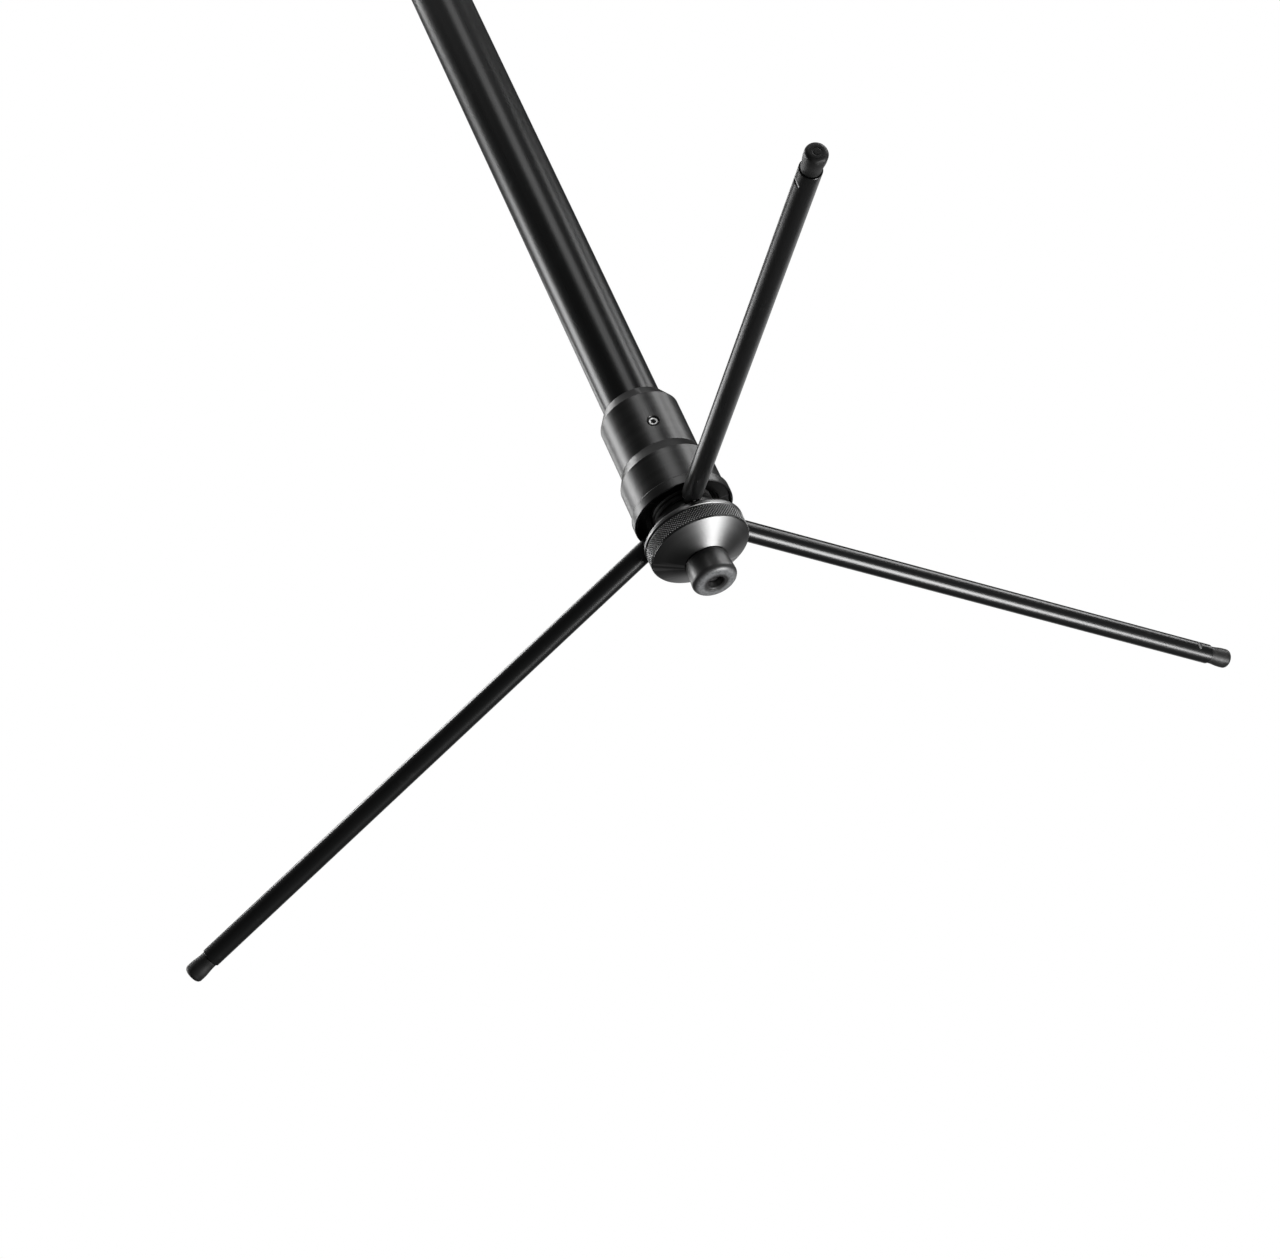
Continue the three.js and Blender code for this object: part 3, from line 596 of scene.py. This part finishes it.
def grub_screw(name, inner, outer):
    """Socket set screw: a chamfered cylinder with a hexagonal key socket."""
    radius = 2.0 * MM
    place = screw_axis(name)
    body = turned(
        name + "_detail",
        [(0, inner), (radius - 0.4 * MM, inner), (radius, inner + 0.4 * MM), (radius, outer - 0.35 * MM),
         (radius - 0.35 * MM, outer), (0, outer)],
        METAL["steel"], place, SMALL_SIDES, 0.08 * MM,
    )
    carve(body, hex_cutter(2.0 * MM, outer - 1.8 * MM, outer + 1 * MM, place))
    finished(body, "base", "black_steel", name)


def countersunk_hole(node, radius, surface, inner):
    """Cutter for a screw hole with a broken edge at the surface."""
    place = screw_axis(node)
    lip = 0.35 * MM
    bm = revolve(
        [(0, inner), (radius, inner), (radius, surface - 0.55 * MM), (radius + lip, surface - 0.1 * MM),
         (radius + lip + 0.4 * MM, surface + 1.5 * MM), (0, surface + 1.5 * MM)], SMALL_SIDES, False,
    )
    return from_bmesh("hole_cutter", bm, METAL["steel"], place, smooth=False)


def hub():
    radius = turned_radius("hub_body")
    low, high = bottom("hub_body"), top("hub_body")
    tube_r = turned_radius("lower_tube")
    socket = tube_r + GAP
    collar = radius - 2.7 * MM
    stud_bore = STUD_R + GAP
    seat = bottom("lower_tube") - GAP
    recess = stud_bore + 3.2 * MM + GAP
    body_top = low + 14.6 * MM
    recess_top = low - GAP + 5.7 * MM
    body = turned(
        "hub_body_detail",
        [(recess, low), (radius, low), (radius, body_top), (collar, body_top + 5.5 * MM),
         (collar, high - 5.4 * MM), (socket + 1.0 * MM, high), (socket, high), (socket, seat),
         (9.5 * MM, seat), (9.5 * MM, seat - 1.5 * MM), (stud_bore, seat - 1.5 * MM),
         (stud_bore, recess_top), (recess, recess_top)],
        METAL["turned"], edge=0.3 * MM, closed=True,
    )
    carve(body, countersunk_hole("hub_grub_screw", 2.3 * MM, collar, 11 * MM))
    finished(body, "base", "turned_black", "hub_body")
    grub_screw("hub_grub_screw", socket, collar - 0.4 * MM)


def hinge_ring():
    radius = turned_radius("hinge_ring")
    rim = ring_z
    under = rim + 1.2 * MM
    ring_top = rim + RING_HEIGHT
    stud_bore = STUD_R + GAP
    spigot = stud_bore + 3.2 * MM
    body = turned(
        "hinge_ring_detail",
        [(radius - 1.0 * MM, rim), (radius, rim), (radius, ring_top), (spigot, ring_top),
         (spigot, ring_top + 5.4 * MM), (stud_bore, ring_top + 5.4 * MM),
         (stud_bore, under + 1.4 * MM), (stud_bore + 1.1 * MM, under + 1.4 * MM),
         (stud_bore + 1.1 * MM, under + 0.7 * MM), (stud_bore + 2.1 * MM, under + 0.7 * MM),
         (stud_bore + 2.1 * MM, under), (radius - 1.0 * MM, under)],
        METAL["turned"], edge=0.45 * MM, closed=True,
    )
    finished(body, "base", "turned_black", "hinge_ring")
    for i in (1, 2, 3):
        hinge_lug(i, under)


def hinge_lug(i, under):
    """Lug that stands in a leg's slot, round at its lower end about the hinge pin."""
    half = LUG_WIDTH / 2
    height = under - hinge_z
    outline = arc(0, 0, half, 180, 360, 14) + [(half, height + 0.6 * MM), (-half, height + 0.6 * MM)]
    pin = centre(f"hinge_pin_{i}")
    turn = Matrix.Rotation(math.atan2(pin.y, pin.x), 4, "Z")
    place = turn @ Matrix.Translation((hinge_r, 0, hinge_z)) @ FACING_Y
    lug = plate(f"hinge_lug_{i}", [outline], LUG_THICK, METAL["turned"], place, 0.2 * MM)
    carve(lug, round_cutter(PIN_HOLE_R, -5 * MM, 5 * MM, place, 24))
    finished(lug, "base", "turned_black")


# ---------------------------------------------------------------- legs

def leg_rod(i):
    place = leg_place(i)
    half = LUG_THICK / 2 + GAP
    rod = turned(
        f"leg_rod_{i}_detail",
        [*arc(0, 0, ROD_R, -90, 0, 10), (ROD_R, 8 * MM), (ROD_R, ROD_LENGTH - 9 * MM),
         (ROD_R, ROD_LENGTH - 4 * MM), (ROD_R, ROD_LENGTH), (ROD_BORE_R, ROD_LENGTH),
         (ROD_BORE_R, ROD_LENGTH - ROD_BORE_DEPTH), (0, ROD_LENGTH - ROD_BORE_DEPTH)],
        METAL["rod"], place @ ALONG_X, ROD_SIDES, 0.4 * MM,
    )
    slot_end = LUG_WIDTH / 2 + 2 * GAP
    slot = rounded_rectangle(-2 * ROD_R, slot_end, -2 * ROD_R, 2 * ROD_R, 0.5 * MM, 3)
    slot_cutter = plate("slot_cutter", [slot], 2 * half, METAL["steel"], place @ FACING_Y, 0.01 * MM)
    crimp_at = Matrix.Translation((ROD_LENGTH - CRIMP_FROM_END, -(ROD_R + CRIMP_AXIS_OUT), 0))
    crimp = round_cutter(CRIMP_R, -2 * ROD_R, 2 * ROD_R, place @ crimp_at)
    pin = centre(f"hinge_pin_{i}")
    level = Matrix.Translation(pin) @ Matrix.Rotation(math.atan2(pin.y, pin.x), 4, "Z") @ FACING_Y
    pin_hole = round_cutter(PIN_HOLE_R, -2 * ROD_R, 2 * ROD_R, level, 24)
    carve(rod, slot_cutter, crimp, pin_hole, angle=14)
    finished(rod, f"leg_{i}", "anodised_black", f"leg_rod_{i}")
    half_pin = math.sqrt(ROD_R ** 2 - MM ** 2) - 0.2 * MM
    pin_piece = turned(
        f"hinge_pin_{i}_detail",
        [(0, -half_pin), (MM, -half_pin), (MM, half_pin), (0, half_pin)],
        METAL["steel"], level, SMALL_SIDES, 0.25 * MM,
    )
    finished(pin_piece, f"leg_{i}", "black_steel", f"hinge_pin_{i}")


def foot(i):
    """Rubber plug with a flared, rounded end and the small flat that it stands on."""
    place = leg_place(i) @ ALONG_X
    start = ROD_LENGTH
    end = start + FOOT_LENGTH
    stem = ROD_BORE_R - GAP
    round_r = 1.7 * MM
    flare = [(FOOT_NECK_R + (FOOT_R - FOOT_NECK_R) * (1 - math.cos(math.pi * k / 8)) / 2,
              start + FOOT_FLARE_FROM + FOOT_FLARE_LENGTH * k / 8) for k in range(9)]
    plug = turned(
        f"foot_{i}_detail",
        [(0, start - FOOT_STEM_LENGTH), (stem, start - FOOT_STEM_LENGTH), (stem, start + GAP),
         (FOOT_NECK_R, start + GAP),
         *flare, *arc(FOOT_R - round_r, end - round_r, round_r, 0, 90, 10),
         (1.7 * MM, end), (1.5 * MM, end - 0.12 * MM), (1.3 * MM, end - 0.12 * MM), (1.1 * MM, end),
         (0, end)],
        METAL["rubber"], place, ROD_SIDES, 0.12 * MM,
    )
    inverse = place.inverted()
    for vertex in plug.data.vertices:
        at = place @ vertex.co
        if at.z < 0:
            at.z = 0
            vertex.co = inverse @ at
    finished(plug, f"leg_{i}", "black_rubber", f"foot_{i}")


# ---------------------------------------------------------------- clamp nut and tip

NUT_LIP = 2.7 * MM
NUT_KNURL = 6.3 * MM
NUT_CONE = 5.4 * MM
NUT_CONE_END_R = 8.6 * MM
NUT_STUD_HEIGHT = 26.6 * MM
NUT_BOSS_HEIGHT = 6.0 * MM
KNURL_DEPTH = 0.36 * MM
KNURL_COUNT = 110
THREAD_PITCH = 2.0 * MM
THREAD_DEPTH = 1.0 * MM


def clamp_nut():
    radius = turned_radius("clamp_nut")
    end = bottom("clamp_nut")
    cone = end + NUT_CONE
    lip = cone + NUT_KNURL
    face = lip + NUT_LIP
    boss_r = STUD_R + 1.1 * MM
    boss_top = face + NUT_BOSS_HEIGHT
    stud_top = boss_top + NUT_STUD_HEIGHT
    root = STUD_R - THREAD_DEPTH
    bore = 9.0 * MM
    screw_r = 1.9 * MM
    sunk = radius - 1.0 * MM
    body = turned(
        "clamp_nut_detail",
        [(screw_r, end), (NUT_CONE_END_R, end), (radius - 0.55 * MM, cone - 0.1 * MM),
         (radius - 0.55 * MM, cone + 0.25 * MM), (sunk, cone + 0.25 * MM), (sunk, lip - 0.35 * MM),
         (radius - 0.65 * MM, lip - 0.35 * MM), (radius - 0.65 * MM, lip), (radius, lip + 0.35 * MM),
         *arc(radius - 1.7 * MM, face - 1.7 * MM, 1.7 * MM, 0, 90, 8),
         (boss_r, face), (boss_r, boss_top), (root, boss_top), (root, stud_top),
         (bore, stud_top), (bore, end + 11 * MM), (screw_r, end + 11 * MM)],
        METAL["nut"], edge=0.18 * MM, closed=True,
    )
    finished(body, "nut", "turned_black", "clamp_nut")
    band = knurl("nut_knurl", radius, KNURL_DEPTH, cone + 0.3 * MM, lip - 0.4 * MM, KNURL_COUNT,
                 knurled_black("nut_knurled", radius))
    finished(band, "nut", "turned_black")
    ridge = screw_thread("nut_thread", root - 0.1 * MM, STUD_R, boss_top + 0.4 * MM,
                         stud_top - 0.5 * MM, THREAD_PITCH, METAL["nut"])
    finished(ridge, "nut", "turned_black")


def rubber_tip():
    low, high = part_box("rubber_tip")
    end, start = low.z, high.z
    radius = 9.0 * MM
    hole = 3.2 * MM
    screw_r = 1.9 * MM
    body = turned(
        "rubber_tip_detail",
        [(screw_r, start), (8.3 * MM, start), *arc(radius - 2.4 * MM, end + 2.4 * MM, 2.4 * MM, 0, -90, 12),
         (hole + 1.3 * MM, end), (hole + 1.0 * MM, end + 0.12 * MM), (hole + 0.45 * MM, end + 0.12 * MM),
         (hole, end + 0.6 * MM), (hole, end + 6.0 * MM), (screw_r, end + 6.0 * MM)],
        METAL["tip"], edge=0.15 * MM, closed=True,
    )
    finished(body, "nut_carrier", "black_rubber", "rubber_tip")
    seat = end + 6.0 * MM - GAP
    head = 2.6 * MM
    screw = turned(
        "tip_screw_detail",
        [(0, seat - head), (2.7 * MM, seat - head), (2.7 * MM, seat), (1.6 * MM, seat),
         (1.6 * MM, top("tip_screw")), (0, top("tip_screw"))],
        METAL["steel"], sides=SMALL_SIDES, edge=0.3 * MM,
    )
    carve(screw, hex_cutter(2.7 * MM, seat - head - MM, seat - MM, Matrix.Identity(4)))
    finished(screw, "nut_carrier", "black_steel", "tip_screw")


# ---------------------------------------------------------------- pole and height clutch

def pole():
    tube_r = turned_radius("lower_tube")
    bore = tube_r - 1.6 * MM
    low, high = bottom("lower_tube"), top("lower_tube")
    tube = turned("lower_tube_detail", [(bore, low), (tube_r, low), (tube_r, high), (bore, high)],
                  METAL["tube"], edge=0.3 * MM, closed=True)
    finished(tube, "base", "anodised_black", "lower_tube")
    shaft_r = turned_radius("upper_shaft")
    low, high = bottom("upper_shaft"), top("upper_shaft")
    shaft = turned(
        "upper_shaft_detail",
        [(shaft_r - 1.2 * MM, low), (shaft_r, low), (shaft_r, high), (shaft_r - 1.2 * MM, high)],
        METAL["tube"], sides=96, edge=0.3 * MM, closed=True,
    )
    finished(shaft, "shaft", "anodised_black", "upper_shaft")


def knob(name, node, body, profile, grip_r, grip_from, grip_to, count):
    """A turned thumb knob along +X with a knurled grip."""
    place = up(centre(node).z) @ ALONG_X
    piece = turned(name, profile, METAL["turned"], place, 96, 0.4 * MM)
    finished(piece, body, "turned_black", node)
    finish = knurled_black(body + "_knurled", grip_r)
    band = knurl(name + "_knurl", grip_r, 0.4 * MM, grip_from, grip_to, count, finish, place, 1.2 * MM)
    finished(band, body, "turned_black")


def height_clutch():
    tube_top = top("lower_tube")
    socket = turned_radius("lower_tube") + GAP
    shaft_bore = turned_radius("upper_shaft") + GAP
    radius = turned_radius("clutch_body")
    low, high = bottom("clutch_body"), top("clutch_body")
    screw_z = centre("clutch_knob").z
    body = turned(
        "clutch_body_detail",
        [(socket, low), (radius - 0.8 * MM, low), (radius, low + 0.8 * MM), (radius, low + 3.0 * MM),
         (radius - 0.5 * MM, low + 3.5 * MM), (radius, low + 4.0 * MM), (radius, high - 5.0 * MM),
         (shaft_bore + 2.7 * MM, high), (shaft_bore, high), (shaft_bore, tube_top + GAP),
         (socket, tube_top + GAP)],
        METAL["turned"], edge=0.3 * MM, closed=True,
    )
    screw_hole = round_cutter(3.3 * MM, 6.5 * MM, radius + 2 * MM, up(screw_z) @ ALONG_X)
    carve(body, screw_hole, countersunk_hole("clutch_grub_screw", 2.3 * MM, radius, 11 * MM))
    finished(body, "base", "turned_black", "clutch_body")
    grub_screw("clutch_grub_screw", socket, radius - 0.4 * MM)
    stem = shaft_bore + 2.3 * MM
    neck = radius + 2.5 * MM
    end = neck + 15.5 * MM
    grip = turned_knob_r["clutch_knob"]
    profile = [
        (0, stem), (3 * MM, stem), (3 * MM, neck), (6 * MM, neck), (6 * MM, neck + 2.5 * MM),
        (grip - 1 * MM, neck + 2.5 * MM), (grip - 0.2 * MM, neck + 3.3 * MM),
        (grip - 0.7 * MM, neck + 3.8 * MM), (grip - 0.7 * MM, end - 2.3 * MM),
        (grip - 0.2 * MM, end - 1.8 * MM), (grip - 0.8 * MM, end - 0.3 * MM),
        (grip - 2 * MM, end), (grip - 4.2 * MM, end), (grip - 4.7 * MM, end - 0.5 * MM), (0, end - 0.5 * MM),
    ]
    knob("clutch_knob_detail", "clutch_knob", "height_knob", profile,
         grip, neck + 3.9 * MM, end - 2.4 * MM, 66)


# ---------------------------------------------------------------- tilter

def tilt_head():
    shaft_top = top("upper_shaft")
    low = bottom("tilt_head")
    bore = turned_radius("upper_shaft") + GAP
    radius = bore + 2.95 * MM
    high = shaft_top + GAP + 7 * MM
    cap = turned(
        "tilt_head_detail",
        [(0, shaft_top + GAP), (bore, shaft_top + GAP), (bore, low), (radius - 0.8 * MM, low),
         (radius, low + 0.8 * MM), (radius, low + 3 * MM), (radius - 0.5 * MM, low + 3.5 * MM),
         (radius, low + 4 * MM), (radius, high - 1 * MM), (radius - 1 * MM, high), (0, high)],
        METAL["turned"], edge=0.3 * MM,
    )
    finished(cap, "shaft", "turned_black", "tilt_head")
    tongue_r = 10 * MM
    foot_y = high - tilt_z - 0.5 * MM
    outline = [(-tongue_r, foot_y), (tongue_r, foot_y), *arc(0, 0, tongue_r, 0, 180, 32)]
    hole = arc(0, 0, 3.3 * MM, 0, 360 - 360 / 32, 31)
    tongue = plate("tilt_tongue", [outline, hole], 8 * MM, METAL["turned"], up(tilt_z) @ FACING_X, 0.5 * MM)
    finished(tongue, "shaft", "turned_black")
    for i in (1, 2):
        side = Matrix.Translation(centre(f"tilt_washer_{i}")) @ ALONG_X
        washer = turned(
            f"tilt_washer_{i}_detail",
            [(3.3 * MM, -0.5 * MM), (9 * MM, -0.5 * MM), (9 * MM, 0.5 * MM), (3.3 * MM, 0.5 * MM)],
            METAL["nylon"], side, 64, 0.2 * MM, closed=True,
        )
        finished(washer, "shaft", "black_nylon", f"tilt_washer_{i}")


def tilt_bolt_and_knob():
    low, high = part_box("tilt_bolt")
    place = up(tilt_z) @ ALONG_X
    head = low.x + 3.6 * MM
    bolt = turned(
        "tilt_bolt_detail",
        [(0, low.x), (5.2 * MM, low.x), (6 * MM, low.x + 0.8 * MM), (6 * MM, head), (3 * MM, head),
         (3 * MM, high.x), (0, high.x)],
        METAL["steel"], place, 64, 0.25 * MM,
    )
    carve(bolt, hex_cutter(4 * MM, low.x - MM, low.x + 2 * MM, place))
    finished(bolt, "desk", "black_steel", "tilt_bolt")
    face, end = (corner.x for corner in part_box("tilt_knob"))
    grip = turned_knob_r["tilt_knob"]
    profile = [
        (0, high.x + MM), (3.3 * MM, high.x + MM), (3.3 * MM, face), (6 * MM, face), (6 * MM, face + 3 * MM),
        (grip - 1 * MM, face + 3 * MM), (grip - 0.2 * MM, face + 3.8 * MM),
        (grip - 0.7 * MM, face + 4.3 * MM), (grip - 0.7 * MM, end - 2.3 * MM),
        (grip - 0.2 * MM, end - 1.8 * MM), (grip - 0.8 * MM, end - 0.3 * MM),
        (grip - 2 * MM, end), (grip - 5.2 * MM, end), (grip - 5.7 * MM, end - 0.5 * MM), (0, end - 0.5 * MM),
    ]
    knob("tilt_knob_detail", "tilt_knob", "tilt_knob", profile, grip, face + 4.4 * MM, end - 2.4 * MM, 76)


# ---------------------------------------------------------------- desk

SHEET = 1.6 * MM
PLATE_FRONT = -28.9 * MM  # in the desk's own frame, whose origin is on the tilt axis
WEB_FRONT = -27.0 * MM
WEB_THICK = 3.0 * MM
DESK_BELOW = 120 * MM
DESK_ABOVE = 200 * MM


def on_desk(y):
    """Frame of a flat piece whose middle plane is at this depth of the desk."""
    return desk_place @ Matrix.Translation((0, y, 0)) @ FACING_Y


def desk_plate():
    half = (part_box("desk_plate")[1].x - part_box("desk_plate")[0].x) / 2
    outlines = [rounded_rectangle(-half, half, -DESK_BELOW, DESK_ABOVE, 28 * MM, 16)]
    for row in (96 * MM, -66 * MM):
        for column in range(-3, 4):
            x = column * 52 * MM
            outlines.append(
                rounded_rectangle(x - 6 * MM, x + 6 * MM, row - 38 * MM, row + 38 * MM, 5.99 * MM, 9)
            )
    place = on_desk(PLATE_FRONT + SHEET / 2)
    piece = plate("desk_plate_detail", outlines, SHEET, METAL["desk"], place, 0.3 * MM)
    finished(piece, "desk", "desk_black", "desk_plate")


def desk_ledge():
    """Bent-sheet shelf: flange, shelf and upturned lip, with real bend radii."""
    back = PLATE_FRONT - GAP
    low = -DESK_BELOW
    lip = back - SHEET - 45 * MM
    bend_out = 2.2 * MM
    bend_in = bend_out - SHEET
    outline = [
        (back, low + 14 * MM), (back - SHEET, low + 14 * MM),
        *arc(back - SHEET - bend_in, low + SHEET + bend_in, bend_in, 0, -90, 5),
        *arc(lip + SHEET + bend_in, low + SHEET + bend_in, bend_in, 270, 180, 5),
        (lip + SHEET, low + 9 * MM), (lip, low + 9 * MM),
        *arc(lip + bend_out, low + bend_out, bend_out, 180, 270, 7),
        *arc(back - bend_out, low + bend_out, bend_out, 270, 360, 7),
    ]
    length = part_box("desk_ledge")[1].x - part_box("desk_ledge")[0].x
    piece = bar("desk_ledge_detail", outline, length, METAL["desk"], desk_place @ FACING_X)
    finished(piece, "desk", "desk_black", "desk_ledge")


def desk_bracket():
    web_outline = rounded_rectangle(-45 * MM, 45 * MM, -25 * MM, 25 * MM, 8 * MM)
    web = plate("desk_bracket_detail", [web_outline], WEB_THICK, METAL["desk"],
                on_desk(WEB_FRONT + WEB_THICK / 2), 0.5 * MM)
    finished(web, "desk", "desk_black", "desk_bracket")
    back = WEB_FRONT + WEB_THICK
    cheek = [
        (back - 1 * MM, -15 * MM), (back + 4 * MM, -15 * MM), *arc(0, 0, 10 * MM, -90, 90, 28),
        (back + 4 * MM, 15 * MM), (back - 1 * MM, 15 * MM),
    ]
    hole = arc(0, 0, 3.3 * MM, 0, 360 - 360 / 32, 31)
    inner = 5.6 * MM
    for i, side in enumerate((-1, 1), 1):
        place = desk_place @ Matrix.Translation((side * (inner + WEB_THICK / 2), 0, 0)) @ FACING_X
        piece = plate(f"bracket_cheek_{i}", [cheek, hole], WEB_THICK, METAL["desk"], place, 0.45 * MM)
        finished(piece, "desk", "desk_black")


def rivet(name, face, back):
    """Domed rivet through the sheets, its head in front."""
    middle = centre(name)
    local = desk_place.inverted() @ middle
    place = desk_place @ Matrix.Translation((local.x, 0, local.z)) @ Matrix.Rotation(-math.pi / 2, 4, "X")
    head = face - GAP
    dome = [(3.6 * MM * math.cos(a), head - 1.0 * MM * math.sin(a))
            for a in (math.pi / 2 * k / 7 for k in range(8))]
    piece = turned(name + "_detail", [(0, back), (1.9 * MM, back), (1.9 * MM, head), *dome[:-1],
                                      (0, head - 1.0 * MM)],
                   METAL["turned"], place, SMALL_SIDES, 0.1 * MM)
    finished(piece, "desk", "rivet_black", name)


def rivets():
    for i in (1, 2, 3, 4):
        rivet(f"bracket_rivet_{i}", PLATE_FRONT, WEB_FRONT + WEB_THICK)
    for i in (1, 2, 3):
        rivet(f"ledge_rivet_{i}", PLATE_FRONT - GAP - SHEET, PLATE_FRONT + SHEET)


# ---------------------------------------------------------------- floor, light and camera

def one_sided_floor():
    """A pale floor that hides the stand from nothing below it: the camera looks up through it."""
    bm = bmesh.new()
    bmesh.ops.create_grid(bm, x_segments=1, y_segments=1, size=6)
    mesh = bpy.data.meshes.new("floor")
    bm.to_mesh(mesh)
    bm.free()
    n = Nodes("floor")
    pale = n.mix(n.noise(n.local, 3, 4), grey(0.78), grey(0.82))
    surface = n.finish(pale, 0.7, specular=0.2)
    n.feed(n.shader.inputs["Emission Color"], pale)
    n.shader.inputs["Emission Strength"].default_value = 0.55
    clear = n.add("ShaderNodeBsdfTransparent")
    either = n.add("ShaderNodeMixShader")
    n.feed(either.inputs[0], n.add("ShaderNodeNewGeometry").outputs["Backfacing"])
    n.feed(either.inputs[1], n.shader.outputs[0])
    n.feed(either.inputs[2], clear.outputs[0])
    n.feed(n.output.inputs["Surface"], either.outputs[0])
    floor = new_object("floor", mesh, surface)
    floor.visible_glossy = False
    floor.visible_diffuse = False
    floor.visible_shadow = False


WORLD_ON_STAND = 0.06


def studio_world():
    """White behind the stand, dimmer where it lights the stand, so that black stays black."""
    world = bpy.data.worlds.new("studio")
    world.use_nodes = True
    bpy.context.scene.world = world
    tree = world.node_tree
    tree.nodes.clear()
    seen = tree.nodes.new("ShaderNodeBackground")
    seen.inputs["Color"].default_value = (1, 1, 1, 1)
    light = tree.nodes.new("ShaderNodeBackground")
    light.inputs["Color"].default_value = (1, 1, 1, 1)
    light.inputs["Strength"].default_value = WORLD_ON_STAND
    path = tree.nodes.new("ShaderNodeLightPath")
    mix = tree.nodes.new("ShaderNodeMixShader")
    output = tree.nodes.new("ShaderNodeOutputWorld")
    tree.links.new(path.outputs["Is Camera Ray"], mix.inputs[0])
    tree.links.new(light.outputs[0], mix.inputs[1])
    tree.links.new(seen.outputs[0], mix.inputs[2])
    tree.links.new(mix.outputs[0], output.inputs[0])


def softbox(name, azimuth, elevation, distance, width, height, power, aim=crossing):
    """A soft area light around the hub, at an azimuth right of the camera and an elevation."""
    data = bpy.data.lights.new(name, "AREA")
    data.shape = "RECTANGLE"
    data.size = width
    data.size_y = height
    data.energy = power
    light = bpy.data.objects.new(name, data)
    bpy.context.scene.collection.objects.link(light)
    a = CAMERA_AZIMUTH + math.radians(azimuth)
    e = math.radians(elevation)
    away = Vector((math.cos(a) * math.cos(e), math.sin(a) * math.cos(e), math.sin(e)))
    light.location = aim + away * distance
    light.rotation_euler = away.to_track_quat("Z", "Y").to_euler()
    light.visible_camera = False
    return light


def lights():
    pole_low = crossing + Vector((0, 0, 0.05))
    desk_middle = Vector((0, 0, tilt_z))
    softbox("left", -93, 28, 1.4, 0.40, 0.75, 6.5, pole_low)
    softbox("right", 73, 26, 1.4, 0.30, 0.75, 6.5, pole_low)
    softbox("below_right", 98, -62, 1.1, 0.46, 0.46, 15)
    softbox("overhead", 10, 84, 0.58, 0.55, 0.55, 0.40)
    softbox("back_left", -140, 30, 1.6, 0.35, 0.5, 2.2, pole_low)
    softbox("above_left", -118, 61, 1.3, 0.30, 0.30, 3.0)
    softbox("backdrop", 180, 12, 2.2, 2.4, 1.4, 6.0, pole_low)
    softbox("desk_left", -100, 14, 1.8, 0.7, 0.7, 10, desk_middle)
    softbox("desk_back", -166, 46, 2.0, 1.0, 0.6, 6, desk_middle)
    softbox("desk_right", 100, 10, 1.8, 0.6, 0.6, 8, desk_middle)
    softbox("desk_front", 20, 25, 2.0, 0.8, 0.8, 9, desk_middle)


def camera():
    data = bpy.data.cameras.new("camera")
    data.sensor_width = CAMERA_SENSOR
    data.lens = CAMERA_LENS
    data.clip_start = 0.01
    view = bpy.data.objects.new("camera", data)
    bpy.context.scene.collection.objects.link(view)
    flat = math.cos(CAMERA_ELEVATION)
    away = Vector((
        math.cos(CAMERA_AZIMUTH) * flat,
        math.sin(CAMERA_AZIMUTH) * flat,
        math.sin(CAMERA_ELEVATION),
    ))
    level = math.cos(CAMERA_PITCH)
    ahead = Vector((
        math.cos(CAMERA_HEADING) * level,
        math.sin(CAMERA_HEADING) * level,
        math.sin(CAMERA_PITCH),
    ))
    turn = (-ahead).to_track_quat("Z", "Y")
    roll = Matrix.Rotation(-CAMERA_ROLL, 4, "Z")
    place = Matrix.Translation(crossing + away * CAMERA_DISTANCE)
    view.matrix_world = place @ turn.to_matrix().to_4x4() @ roll
    bpy.context.scene.camera = view


# ---------------------------------------------------------------- assembly

camera()
lights()
studio_world()
one_sided_floor()
bpy.context.scene.view_settings.view_transform = "Standard"

hub()
hinge_ring()
for leg in (1, 2, 3):
    leg_rod(leg)
    foot(leg)
clamp_nut()
rubber_tip()
pole()
height_clutch()
tilt_head()
tilt_bolt_and_knob()
desk_plate()
desk_ledge()
desk_bracket()
rivets()
for inside in ("clutch_pad", "shaft_plug"):
    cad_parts[inside].data.materials.clear()
    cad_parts[inside].data.materials.append(METAL["nylon"])
